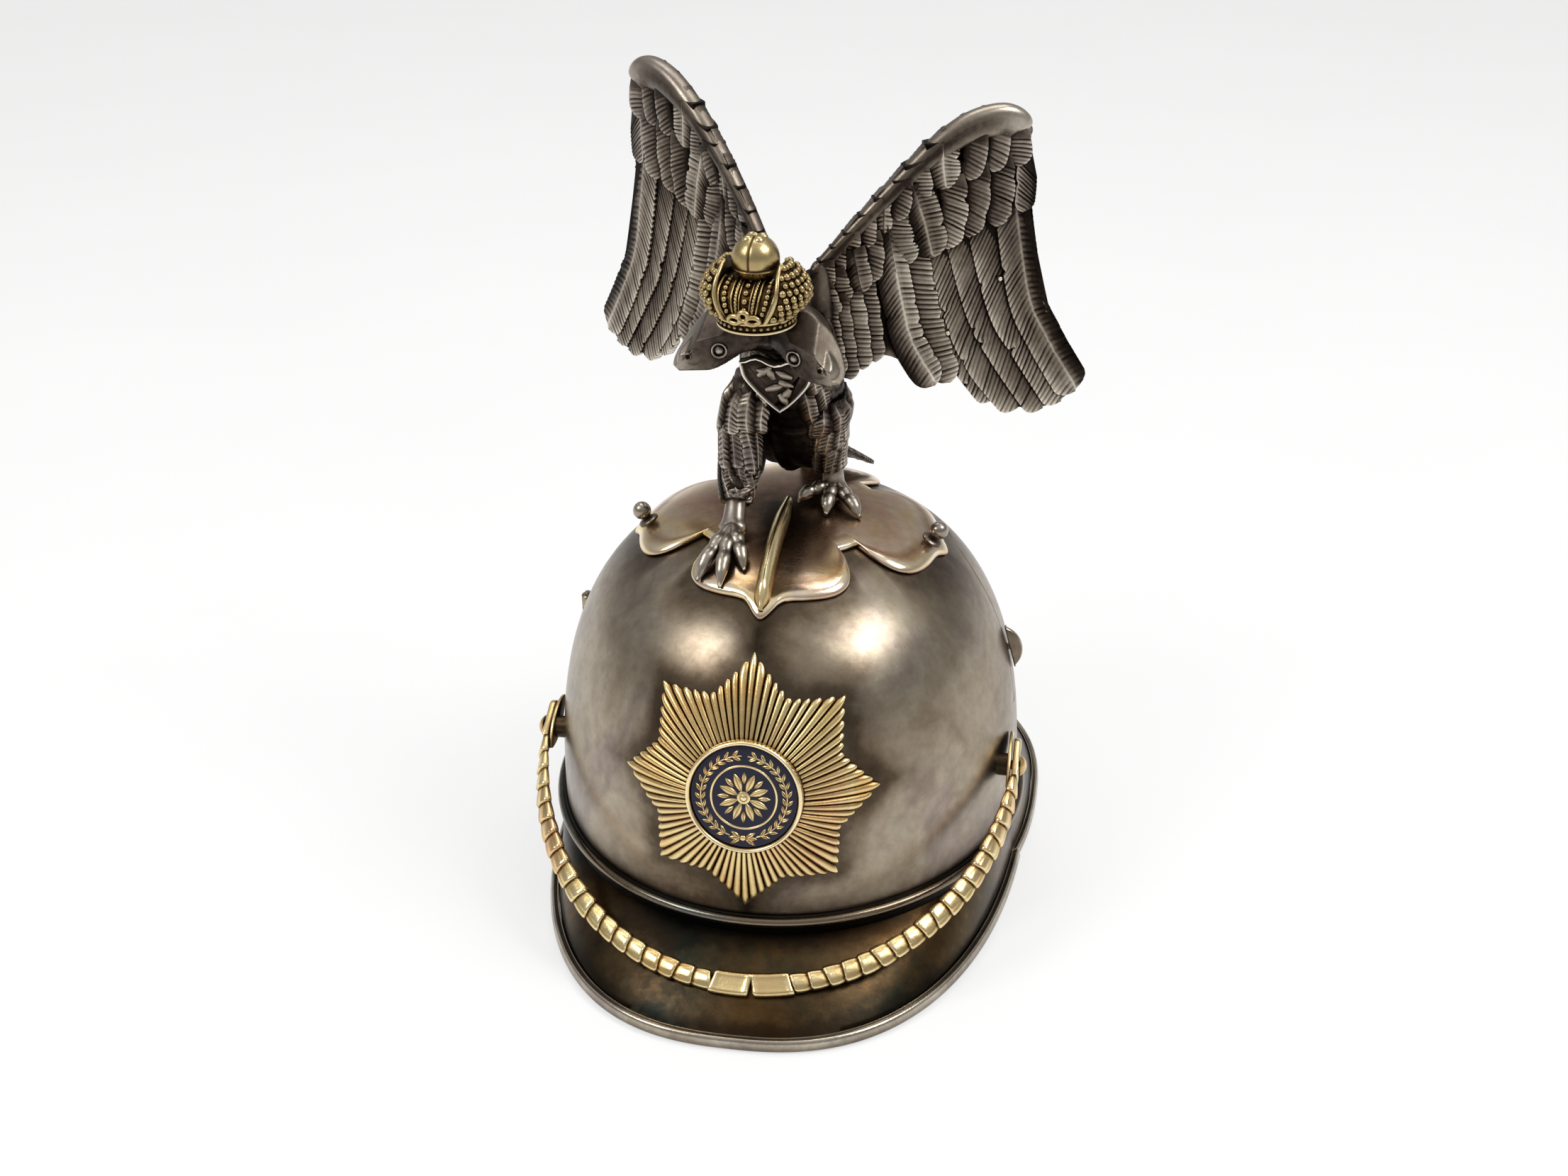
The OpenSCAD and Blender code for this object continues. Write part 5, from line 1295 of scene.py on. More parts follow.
COVERTS = [([[31.4, 57], [31.7, 50.9], [30.9, 45.3]], 2.3),
           ([[27.4, 56], [27.6, 50], [26.3, 44.0]], 2.3),
           ([[23.4, 54.5], [23.9, 48], [22.8, 42.3]], 2.4),
           ([[13.6, 50], [15.1, 44.8], [17.0, 40.2]], 2.4),
           ([[16.8, 53.5], [19.2, 47.4], [20.9, 41.0]], 2.9),
           ([[10.4, 46.5], [11.0, 42], [10.6, 37.8]], 1.7),
           ([[7.4, 44], [8.3, 40], [9.3, 36.2]], 2.1),
           ([[4.4, 41], [5.3, 37.6], [6.6, 34.8]], 1.9),
           ([[2.4, 39], [3.4, 36], [4.8, 32.6]], 1.7),
           ([[0.9, 37], [1.9, 33], [3.0, 29.4]], 1.7)]
SMALL_COVERTS = [([[33.0, 60.8], [34.0, 58], [34.4, 54.9]], 2.3),
                 ([[30.7, 62], [30.7, 58], [29.8, 54.5]], 1.9),
                 ([[26.9, 61], [26.9, 57.5], [25.9, 53.5]], 2.0),
                 ([[21.5, 60], [21.8, 56], [22.5, 52.2]], 2.8),
                 ([[17.1, 57], [18.0, 54], [18.9, 50.8]], 1.9),
                 ([[15.1, 54.5], [15.3, 51.6], [14.4, 47.9]], 1.6),
                 ([[12.0, 52], [12.3, 49], [12.4, 45.7]], 1.5),
                 ([[9.5, 49.5], [9.8, 46.6], [9.7, 43.8]], 1.4),
                 ([[7.0, 46.8], [7.2, 44], [6.9, 41.6]], 1.4),
                 ([[4.9, 44.6], [5.0, 42], [5.0, 39.4]], 1.3),
                 ([[2.9, 42.6], [3.2, 40], [3.4, 37.6]], 1.3),
                 ([[1.0, 40.6], [1.5, 38], [1.7, 35.4]], 1.3)]
EDGE_LEAF = [[35.6, 57], [36.0, 52], [35.8, 47.2]]
SHAFTED_COVERTS, SHAFTED_SMALL, THICK_SMALL = (4, 6), (3, 6), 6
PINS = [[32.3, 36.4], [23.6, 28.0]]
FRINGE, FRINGE_START, FRINGE_STEP = 11, 0.06, 0.078


def bone_section(u):
    """Half width and half thickness of the wing's bone at u"""
    swell = mix(0.9, 1.55, np.sin(np.radians(np.minimum(90, 110 * u))))
    return mix(1.3, 2.8, smooth(0.1, 0.78, u)), WING_BONE / 2 * swell


def add_flight_feathers(shape, place):
    for k, (line, half) in enumerate(reversed(PRIMARIES)):
        last = k == len(PRIMARIES) - 1
        feather(shape, place, line, half, 0.6 + 0.07 * k, shaft=0.1 if last else 0.75, tilt=-0.42,
                ridge=0.34 if last else 0, slants=(1.3, 0.4 if last else 0.9), splits=5, tip=0.4, root=0.95,
                barb=1.05, depth=0.18, sink=0.5)
    feather(shape, place, EDGE_LEAF, 1.8, 1.05, shaft=-0.9, tilt=-0.15, slants=(1, 1.2), splits=1)
    for k, (line, half) in enumerate(reversed(SECONDARIES)):
        feather(shape, place, line, half, 0.95 + 0.22 * k, shaft=0.15 if k else -0.9,
                tilt=0.14 if k else 0.25, ridge=0.38 if k else 0, splits=5, lobes=0 if k else 6, tip=0.6,
                root=0.9, barb=0.9, depth=0.18, sink=0.3)
    for k, (line, half) in enumerate(TERTIALS):
        feather(shape, place, line, half, 0.85 + 0.14 * k, shaft=-0.85, tilt=0.3, slants=(0.8, 0.25),
                barb=0.76, splits=0, lobes=4, depth=0.2, root=0.8)


SHAFTED = dict(shaft=-0.1, tilt=0.08, ridge=0.4, slants=(0.9, 0.3), splits=3)
PLAIN = dict(shaft=-0.75, tilt=0.34, slants=(0.6, 0.5), splits=1, lobes=3)


def add_coverts(shape, place):
    for k, (line, half) in enumerate(COVERTS):
        own = k in SHAFTED_COVERTS
        feather(shape, place, line, half, (1.45 if own else 1.15) + 0.04 * (k % 3), barb=0.78, depth=0.2,
                root=0.9, **(SHAFTED if own else PLAIN))
    for k, (line, half) in enumerate(SMALL_COVERTS):
        own = k in SHAFTED_SMALL
        feather(shape, place, line, half, (1.5 if k < THICK_SMALL else 1.2) + 0.06 * (k % 3),
                shaft=-0.05 if own else -0.75, tilt=0.06 if own else 0.28, ridge=0.34 if own else 0,
                slants=(0.45, 0.45), barb=0.75, depth=0.16, splits=1, root=0.95)


def add_bone(shape, front):
    """Polished roll along the wing's leading edge, with a hatched fringe under its outer end"""
    x, y = np.cos(turns(32)), np.sin(turns(32))
    rings, wears = [], []
    stations = np.concatenate([np.linspace(0, 0.6, 40), np.linspace(0.604, 0.9, 96),
                               np.linspace(0.903, 0.94, 16)])
    for k, w in enumerate(stations):
        way = unit(curve(BONE_LINE, min(1, w + 0.01)) - curve(BONE_LINE, max(0, w - 0.01)))
        inward = np.array([way[1], -way[0]])
        wide, thick = bone_section(w)
        close = math.sqrt(max(0.03, 1 - max(0, (w - 0.885) / 0.0565) ** 2))
        mid = curve(BONE_LINE, w) + inward * wide
        fringe = smooth(0.62, 0.76, w) * smooth(0.1, 0.55, -x) * (k % 3 == 0)
        side = wide * spow(x, 0.8) * (1 - 0.06 * fringe) * mix(1, close, 0.6)
        rings.append(front(mid[0] - inward[0] * side, mid[1] - inward[1] * side,
                           float(thick) * close * spow(y, 0.85) * (1 - 0.12 * fringe)))
        # Brighter towards the leading edge and the outer end, partly polish and partly a painted highlight,
        # with a darker streak along the middle nearer the root.
        streak = 0.26 * bump(x - 0.1, 0.35) * (1 - smooth(0.6, 0.8, w))
        wears.append((0.4 + 0.28 * w + 0.16 * x * w - streak) * (1 - 0.9 * fringe))
    shape.tube(rings, np.concatenate(wears))


def add_wing_sheet(shape, front, back):
    """Plain sheet under the feathers of both faces"""
    rows, cols = 70, 26
    u, v = np.linspace(0, 1, rows), np.linspace(0, 1, cols)
    bone, edge = curve(BONE_LINE, u), curve(FEATHER_LINE, u)
    edge[:, 0] -= 1.5 * smooth(0.6, 0.68, u)
    span = np.linalg.norm(edge - bone, axis=1, keepdims=True)
    way = (edge - bone) / span
    start, end = bone + way * 1.4, edge - way * np.minimum(0.3, 0.3 * span)
    a, b = mix(start[:, None], end[:, None], v[None, :, None]).reshape(-1, 2).T
    top, under = (place(a, b, 0.4).reshape(rows, cols, 3) for place in (front, back))
    shape.slab(top, under, 0.1 + 0.4 * smooth(0.88, 1, v))


def make_wing(side_name, s):
    shape = Shape()
    front, back = wing_place(s), wing_place(s, -1)
    add_wing_sheet(shape, front, back)
    for place in (front, back):
        add_flight_feathers(shape, place)
        add_coverts(shape, place)
    for k in range(FRINGE):
        w = FRINGE_START + FRINGE_STEP * k
        at, ahead = curve(BONE_LINE, w), curve(BONE_LINE, min(1, w + 0.13))
        way = unit(ahead - at)
        out = np.array([-way[1], way[0]])
        # The fringe's colour is raised as painted light, so that it looks lit where it faces away from the
        # lamps.
        feather(shape, back, [at - out * 1.7, ahead - out * 1.1], 1.35, 1.3, low=-0.5, tilt=-0.1,
                slants=(0.5, 0.5), splits=0, root=0.95, barb=1.0, painted_light=0.42)
    for a, b in PINS if s > 0 else []:
        at, above = front(a, b, 0.5), front(a, b, 1.5)
        shape.lathe([[0, 0], [0.42, 0], [0.42, 0.55], [0.3, 0.8], [0, 0.88]], stand_on(at, above - at), 16,
                    [0.3, 0.3, 0.8, 1, 1])
    add_bone(shape, front)
    build(shape, "wing_" + side_name + "_feathers", oxidised, nodes=("wing_" + side_name,),
          sharp=75)


# Body, legs and heads: stations are rows of [x, y, height above the perch, half width, half depth]

SPINE = [[0, 14.5, 5.2, 2.6, 1.8], [0, 10.5, 9, 5, 3.9], [0, 6, 14.2, 6.8, 5.8], [0, 1.6, 20, 7.5, 6.6],
         [0, -2.2, 26, 7.2, 6.4], [0, -5.2, 31, 6.9, 5.4], [0, -8.6, 34.2, 5.8, 4.2],
         [0, -12.2, 35.6, 4.4, 2.9]]
BACK_LINE = [[0, 4, 20, 4, 3], [0, 2, 30, 4, 2.8], [0, 0.2, 37, 3.4, 2.2], [0, -0.6, 40.4, 2, 1.2]]
LOWER_BODY = [[0, 1, 16, 5, 4.4], [0, 4.5, 10.4, 5.4, 4.6], [0, 9, 6.6, 4.8, 3.7], [0, 13, 4.4, 3.4, 2.4]]
LEFT_FLANK = [[-3, -3, 30, 4, 4], [-3.7, -1.5, 24, 4.5, 4.6], [-3.9, 0.2, 19, 3.8, 4.4],
              [-3.8, 1.6, 14, 3, 4]]
UNDER_BODY = [[-3.4, 1.2, 18, 3.3, 4], [-3.8, 2.8, 11.2, 3.5, 4.6], [-4.2, 5.6, 7.4, 4, 4.3],
              [-3.4, 9, 5.2, 3.6, 3.5]]
LEGS = {"left": {"hip": [-5.6, -1.2, 21.5], "thigh": [-7.0, -4, 13.6], "cuff": [-7.0, -8, 6.2],
                 "ankle": [-6.6, -10.6, 3.4], "foot": [-6, -14],
                 "toes": [[-8.6, -24.2], [-4.4, -25.4], [-1.4, -21.8], [-7.6, -9.2]]},
        "right": {"hip": [4.4, 2.2, 20], "thigh": [4, 3.4, 14], "cuff": [4.6, 4.4, 7.6],
                  "ankle": [5.4, 4.8, 4.6], "foot": [5.8, 4.2],
                  "toes": [[6.6, -3.4], [12, -1.6], [0.8, -0.6], [5, 9.4]]}}
TRUNK_VOXEL, TRUNK_ROUNDS = 0.35, 4


def ground(x, y):
    """Height of the crest plate above the perch"""
    w = eagle(np.array([x, y, 0.0]))
    return float(plate_top(w[0], w[1])) - PERCH


def raised(stations):
    """Stations with their heights above the perch turned into real heights"""
    return np.asarray(stations, float) + [0, 0, PERCH, 0, 0]


def limb_axes(path, side):
    """Directions across and through a limb, at each row of its path"""
    way = unit(np.gradient(path[:, :3], axis=0))
    across = unit(np.asarray(side, float) - (way @ np.asarray(side, float))[:, None] * way)
    return across, np.cross(way, across)


def limb(stations, side=(1, 0, 0), n=28, steps=36):
    """Rings of a limb of the eagle through the stations, with side as its way across"""
    path = along_path(raised(stations), steps)
    across, deep = limb_axes(path, side)
    return eagle(rings_round(path[:, :3], across * path[:, 3:4], deep * path[:, 4:], n))


def head_stations(s):
    return [[s * x, y, z, wide, deep] for x, y, z, wide, deep in (
        (1.4, -7.8, 33.0, 3.5, 3.2), (3.2, -10.4, 35.0, 4.1, 3.8), (5.4, -12.9, 35.4, 4.3, 4.1),
        (7.2, -14.8, 34.4, 4.1, 4.1), (8.9, -16.4, 33.3, 3.9, 3.9), (10.4, -17.8, 32.3, 3.6, 3.6),
        (11.8, -19.0, 31.4, 2.9, 3.0), (12.6, -19.8, 30.6, 1.4, 1.7))]


def shoulder_stations(s):
    """Root of a wing on the eagle's back"""
    return [[s * 1.5, 1.2, 24, 2.6, 2], [s * 3.2, 1.6, 32, 2.8, 2.2], [s * 3.9, 1.2, 39, 1.9, 1.6],
            [s * 4.2, 1.0, 42, 1.0, 1.0]]


def leg_stations(leg):
    hip, thigh, cuff, ankle = (np.array(leg[k], float) for k in ("hip", "thigh", "cuff", "ankle"))
    return [[*hip, 3.5, 4.0], [*mix(hip, thigh, 0.5), 3.5, 4.0], [*thigh, 3.2, 3.5],
            [*mix(thigh, cuff, 0.6), 2.7, 2.8], [*cuff, 2.3, 2.3], [*mix(cuff, ankle, 0.85), 1.7, 1.7]]


def shin_stations(leg):
    cuff, ankle = np.array(leg["cuff"], float), np.array(leg["ankle"], float)
    root = np.array([*leg["foot"], ground(*leg["foot"]) + 1.7])
    return [[*cuff, 1.9, 1.8], [*mix(cuff, ankle, 0.6), 1.8, 1.7], [*ankle, 1.75, 1.6],
            [*mix(ankle, root, 0.6), 1.9, 1.5], [*root, 2.4, 1.6], [*(root - [0, 1.2, 0.4]), 1.3, 0.9]]


def melt(shape, name, voxel, rounds):
    """One smooth closed skin over overlapping solids"""
    obj = solid(shape, name, 180)
    join = obj.modifiers.new("join", "REMESH")
    join.mode = "VOXEL"
    join.voxel_size = voxel * MM
    soften = obj.modifiers.new("soften", "SMOOTH")
    soften.factor = 0.5
    soften.iterations = rounds
    apply_modifiers(obj)
    return obj


def move_points(mesh, places):
    mesh.vertices.foreach_set("co", (places * MM).reshape(-1))
    mesh.update()


PLUMES_ROUND, PLUME_ROW, PLUME_HEIGHT, HATCHING = 6.5, 2.1, 0.24, 1.9


def plumage(q):
    """Height of the small overlapping feathers round the trunk, at places in the eagle's frame"""
    x, y, z = q.T
    turn = np.arctan2(x, -(y + 0.35 * (z - 20))) * PLUMES_ROUND
    row = (z + 0.25 * np.cos(turn)) / PLUME_ROW
    i = np.floor(row)
    fx = (turn / 2.0 + 0.5 * (i % 2)) % 1 - 0.5
    edge = row - i - 0.15 - 1.6 * fx ** 2
    lobe = smooth(0, 0.12, edge) - 0.75 * smooth(0.12, 1.1, edge)
    hatch = 0.25 * np.sin(2 * np.pi * (z * HATCHING + np.abs(fx) * 5))
    trunk = smooth(-9, -6, -np.abs(x) - 0.4 * np.maximum(0, z - 30)) * smooth(34.5, 32, z)
    calm = 1 - 0.75 * bump(x + 1, 5.5) * smooth(22, 17, z) * (y < 6)
    return PLUME_HEIGHT * (lobe - 0.3 + hatch * smooth(0.1, 0.3, lobe)) * trunk * calm


def emboss(mesh, rule):
    """Moves each point along its normal by the rule's height and returns the heights"""
    place = mesh_values(mesh) / MM
    lift = rule(from_eagle(place))
    move_points(mesh, place + mesh_values(mesh, "normal") * lift[:, None])
    return lift


# Flat facets of the heads: which way each one faces, and how far out it lies from the head's middle
HEAD_MIDDLE, FACET_DEPTH = [6.6, -14.4, 34.6], 1.7
HEAD_FACETS = [((0.0, 0.1, -1.0), 4.3), ((0.1, -0.62, 0.78), 3.3), ((0.7, -0.4, 0.6), 3.9),
               ((-0.25, -0.95, -0.1), 3.9)]
EYE, NOSTRIL, BREATH = [5.9, -18.6, 33.3], [10.4, -20.6, 32.4], 0.42


def flatten_heads(mesh):
    """Presses the facets of the two heads flat"""
    q = from_eagle(mesh_values(mesh) / MM)
    for s in (-1, 1):
        out = q * [s, 1, 1] - HEAD_MIDDLE
        there = smooth(-4.2, -2.6, out[:, 0])
        for way, reach in HEAD_FACETS:
            over = np.clip(out @ unit(way) - reach, 0, FACET_DEPTH) * there
            out = out - over[:, None] * unit(way)
        q = (out + HEAD_MIDDLE) * [s, 1, 1]
    move_points(mesh, eagle(q + [0, 0, PERCH]))


def place_on_limb(path, side):
    """Placing function on a limb: a is the distance round it from its outer side, b the distance down it"""
    run = np.concatenate([[0], np.cumsum(np.linalg.norm(np.diff(path[:, :3], axis=0), axis=1))])
    rows = np.concatenate([path, *limb_axes(path, side)], axis=1)

    def place(a, b, q):
        c = np.stack([np.interp(b, run, row) for row in rows.T], -1)
        wide, deep = c[:, 3], c[:, 4]
        turn = a / np.maximum(0.5 * (wide + deep), 1.5)
        return eagle(c[:, :3] + unit(c[:, 5:8]) * ((wide + q) * np.cos(turn))[:, None]
                     + unit(c[:, 8:]) * ((deep + q) * np.sin(turn))[:, None])
    return place


def add_toe(shape, foot, tip):
    """Toe with two knuckles and a claw"""
    t = np.linspace(-0.1, 1, 36)
    x, y = mix(foot[0], tip[0], t), mix(foot[1], tip[1], t)
    floor = np.array([ground(a, b) for a, b in zip(x, y)])
    thick = 1.2 - 0.22 * t + 0.22 * bump(t - 0.4, 0.09) + 0.2 * bump(t - 0.68, 0.08)
    thick = thick * mix(1, 0.3, smooth(0.8, 1.0, t))
    arch = 0.7 * np.sin(np.pi * np.clip(t, 0, 1)) + 0.9 * (1 - smooth(-0.1, 0.55, t))
    height = floor + thick + arch * (1 - smooth(0.75, 1, t)) + 0.1
    shape.tube(limb(np.column_stack([x, y, height, thick, thick * 0.95]), (0.7, 0.3, 0), 18, 44), 0.7)


LEG_TIERS = ((0.5, 1.05, 0.95, 12), (0.24, 0.76, 1.1, 11), (0.0, 0.46, 1.25, 10))
BREAST = [[0, -3.4, 33, 6.4, 5.6], [0, -1.4, 27, 7.3, 6.5], [0, 1.4, 20.5, 7.3, 6.4], [0, 5, 15, 6.6, 5.6]]
BREAST_TIERS, BREAST_PITCH, BREAST_COUNT = ((12, 20.5), (7.5, 15), (3, 10), (0, 6)), 2.9, 11


def add_leg_feathers(shape, leg, s):
    """Three tiers of long narrow feathers that hang down the thigh, the lowest first"""
    path = along_path(raised(leg_stations(leg)), 50)
    place = place_on_limb(path, [s, 0, 0])
    length = path_length(path[:, :3])
    for tier, (start, end, half, count) in enumerate(LEG_TIERS):
        for k in range(count):
            a = (k - (count - 1) / 2) * 1.5 * half
            reach = end * length + rng.uniform(-1.6, 0.7)
            sway = rng.uniform(-0.5, 0.5)
            feather(shape, place, [[a, start * length], [a * 0.95 + sway, reach]], half,
                    0.8 + 0.34 * tier + 0.16 * (k % 2), low=-0.5, ridge=0.2, tilt=0.08 * (-1) ** k,
                    slants=(0.8, 0.8), barb=0.85, depth=0.18, splits=1, root=0.8, sink=0.5 + 0.3 * tier)


def add_breast_feathers(shape):
    """Feathers on both flanks of the breast, beside the shield"""
    place = place_on_limb(along_path(raised(BREAST), 40), [0, -1, 0])
    for tier, (start, end) in enumerate(BREAST_TIERS):
        for k in range(BREAST_COUNT):
            a = (k - BREAST_COUNT // 2) * BREAST_PITCH + 1.4 * (tier % 2)
            if abs(a) > 3.5:
                line = [[a, start], [a * 1.04, end + rng.uniform(-0.6, 0.6)]]
                feather(shape, place, line, 1.55, 0.4 + 0.24 * tier, low=-0.8, ridge=0.18, tilt=0.1,
                        slants=(0.8, 0.8), barb=0.85, splits=1, sink=0.6)


def add_face(shape, s, nearest):
    """Ringed eye and a nostril, set on the head's skin"""
    ring = [[0, -0.9], [1.3, -0.9], [1.34, 0.0], [1.2, 0.26], [0.95, 0.2], [0.84, -0.1], [0.7, 0.05],
            [0.45, 0.3], [0, 0.4]]
    hole = [[0, -0.5], [BREATH + 0.16, -0.5], [BREATH + 0.14, 0.1], [BREATH, 0.18], [BREATH - 0.1, 0.07],
            [0, 0.05]]
    for at, section, n, wear_and_shading in ((EYE, ring, 28, [0.3, 0.3, 0.5, 0.85, 0.5, 0.03, 0.3, 0.6, 0.8]),
                                 (NOSTRIL, hole, 18, [0.4, 0.4, 0.5, 0.45, 0.0, 0.0])):
        spot, way, *_ = nearest.find_nearest(Vector(eagle([s * at[0], at[1], at[2] + PERCH])))
        shape.lathe(section, stand_on(np.array(spot), np.array(way)), n, wear_and_shading)


def trunk_wear_and_shade(p, lift):
    """Bright feather edges and beaks, and painted shade between the legs"""
    x, _, z = from_eagle(p).T
    # Painted shade: the lower body between the legs is darkened.
    feathers = 0.3 + 1.0 * lift - 0.26 * bump(x + 1.2, 6) * smooth(25, 20, z)
    head = 0.3 + 0.3 * smooth(8.5, 12.5, np.abs(x)) + 0.12 * smooth(35, 38, z)
    return np.where((z > 30) & (np.abs(x) > 3), head, feathers)


def make_eagle_body():
    core = Shape()
    core.tube(limb(SPINE, n=40))
    for stations in (BACK_LINE, LOWER_BODY, LEFT_FLANK, UNDER_BODY):
        core.tube(limb(stations))
    for s, leg in ((-1, LEGS["left"]), (1, LEGS["right"])):
        core.tube(limb(leg_stations(leg)))
        core.tube(limb(head_stations(s), (s * 0.5, 0.6, 0.6), 32))
        core.tube(limb(shoulder_stations(s)))
    body = melt(core, "eagle_trunk", TRUNK_VOXEL, TRUNK_ROUNDS)
    mesh = body.data
    flatten_heads(mesh)
    finish_mesh(mesh, 60)
    lift = emboss(mesh, plumage)
    paint_wear_and_shading(body, lambda p: trunk_wear_and_shade(p, lift))

    extra = Shape()
    nearest = BVHTree.FromPolygons([v.co / MM for v in mesh.vertices], [f.vertices for f in mesh.polygons])
    for s, leg in ((-1, LEGS["left"]), (1, LEGS["right"])):
        extra.tube(limb(shin_stations(leg), (1, 0, 0), 22, 34), 0.66)
        for tip in leg["toes"]:
            add_toe(extra, leg["foot"], tip)
        add_leg_feathers(extra, leg, s)
        add_face(extra, s, nearest)
    add_breast_feathers(extra)
    body.name = "eagle_figure"
    join_into(body, solid(extra, "eagle_details", 70))
    dress(body, oxidised, "helmet", ("eagle_body",))


TAIL_LONG, TAIL_BACK, TAIL_DROP = 17.2, (15.0, 29.0), (5.2, -4.0)


def make_tail():
    shape = Shape()

    def tail_place(face):
        def place(a, b, q):
            y = mix(*TAIL_BACK, b / TAIL_LONG) - 0.12 * np.abs(a)
            z = mix(*TAIL_DROP, b / TAIL_LONG) - 0.02 * a ** 2 + 0.3
            return eagle(np.stack([a, y + 0.55 * face * q, PERCH + z + 0.83 * face * q], -1))
        return place

    for face in (1, -1):
        for k in (-3, 3, -2, 2, -1, 1, 0):
            line = [[0.55 * k, 0.2], [1.2 * k, 8], [1.95 * k, 16.4 - 0.35 * abs(k)]]
            feather(shape, tail_place(face), line, 1.6, 0.5 + 0.05 * (3 - abs(k)), low=-0.05, ridge=0.15,
                    slants=(0.9, 0.9), splits=3)
    build(shape, "tail_feathers", oxidised, nodes=("eagle_tail",), sharp=75)


SHIELD_HALF, SHIELD_TOP, SHIELD_LEAN, SHIELD_AT = 5.8, 5.3, 16.0, [1.2, -11.0, 26.0]
# Leaves of the shield's scroll: where each one starts, its turn and its length
SCROLL = (((-2.9, 1.7), 28, 3.0), ((2.7, 2.0), 150, 2.8), ((-0.4, 1.4), 96, 2.4), ((-1.9, -0.9), 10, 3.4),
          ((2.2, -0.2), 222, 2.9), ((0.2, -1.4), -72, 2.6), ((0.4, 0.9), -28, 2.4), ((-0.9, 2.9), 170, 2.2))


def shield_outline():
    half, top = SHIELD_HALF, SHIELD_TOP
    corner = [half, top - 2.2]
    right = curve([corner, [half * 0.94, top - 4.2], [half * 0.66, top - 6.6], [half * 0.3, top - 9.0],
                   [0.12, 0.15 - top]], np.linspace(0, 1, 20)[1:])
    crest = np.linspace(0, 1, 13)
    upper = np.column_stack([mix(-half, half, crest), top - 0.55 - 0.55 * np.cos(4 * np.pi * crest)])
    mirror = [-1, 1]
    return np.concatenate([upper, [corner], right, [[0, -top]], right[::-1] * mirror,
                           [np.multiply(corner, mirror)]])


def on_shield(p):
    p = np.asarray(p, float)
    y = -p[..., 2] * cosd(SHIELD_LEAN) - p[..., 1] * sind(SHIELD_LEAN)
    z = p[..., 1] * cosd(SHIELD_LEAN) - p[..., 2] * sind(SHIELD_LEAN)
    return eagle(np.stack([p[..., 0], y, z + PERCH], -1) + SHIELD_AT)


def make_shield():
    """Heart-shaped shield with a fine raised rim and a generic scroll in relief"""
    shape = Shape()
    shape.plate(shield_outline(), [0, 0.1, 1.05, 1.2, 1.2, 0.92, 0.86, 0.9],
                [0.1, 0, 0, 0.12, 0.34, 0.5, 0.7, 1.6], on_shield, [0.2, 0.3, 0.7, 1, 1, 0.3, 0.15, 0.25])
    for (x, y), turn, length in SCROLL:
        line = [[x, y], [x + 0.5 * length * cosd(turn) - 0.35 * sind(turn),
                         y + 0.5 * length * sind(turn) + 0.35 * cosd(turn)],
                [x + length * cosd(turn + 12), y + length * sind(turn + 12)]]
        path = along_path(np.column_stack([line, [0.85] * 3, [0.45, 0.72, 0.22], [0.35, 0.55, 0.18]]), 16)
        way = unit(np.gradient(path[:, :3], axis=0))
        side = np.stack([-way[:, 1], way[:, 0], 0 * way[:, 0]], -1)
        shape.tube(on_shield(rings_round(path[:, :3], side * path[:, 3:4], [0, 0, 1] * path[:, 4:], 14)), 0.6)
    build(shape, "shield", oxidised, nodes=("breast_shield",), sharp=45)


# Crown, which stands on the two heads

CROWN_AT = np.array([0, -17.8, 38.4])
CROWN_R, BAND_H, ORB_R, CAP_H, MITRE_H, MITRE_HALF, CAP_HALF = 6.1, 2.0, 3.65, 5.3, 7.8, 8.2, 3.8
CAP_DEPTH, CAP_INNER, CAP_START = CROWN_R - 0.25, 1.6, 25
CAP_BOTTOM = BAND_H + SEAT
ORB_Z = CAP_BOTTOM + CAP_H + ORB_R - 1.0
UP = np.array([0, 0, 1])


def at_crown(p):
    return eagle(np.asarray(p, float) + CROWN_AT + [0, 0, PERCH])


def add_bead(shape, centre, r, wear_and_shading=0.68, n=10):
    section = [[max(0.0, r * cosd(a)), r * sind(a)] for a in np.linspace(-90, 90, 7)]
    shape.lathe(section, lambda p: at_crown(p + np.asarray(centre, float)), n, wear_and_shading)


def add_oval(shape, a, up, wide, high):
    """Smooth oval ring that leans on the front of the crown's band"""
    out, side = np.array([cosd(a), sind(a), 0]), np.array([-sind(a), cosd(a), 0])
    x = turns(28)[:, None]
    middles = out * (CROWN_R + 0.05) + UP * (BAND_H + up) + side * wide * np.cos(x) + UP * high * np.sin(x)
    way = side * np.cos(x) + UP * np.sin(x)
    shape.tube(at_crown(rings_round(middles, way * 0.42, 0 * way + out * 0.5, 12)), 0.8, close=True)


# Ovals of the band, front and back: turn from the middle, height, half width and half height
OVALS = ((0, 1.05, 0.72, 0.66), (-13, 0.4, 0.98, 0.55), (13, 0.4, 0.98, 0.55), (-58, 0.45, 0.8, 0.6),
         (58, 0.45, 0.8, 0.6))
BAND_BEADS = 36


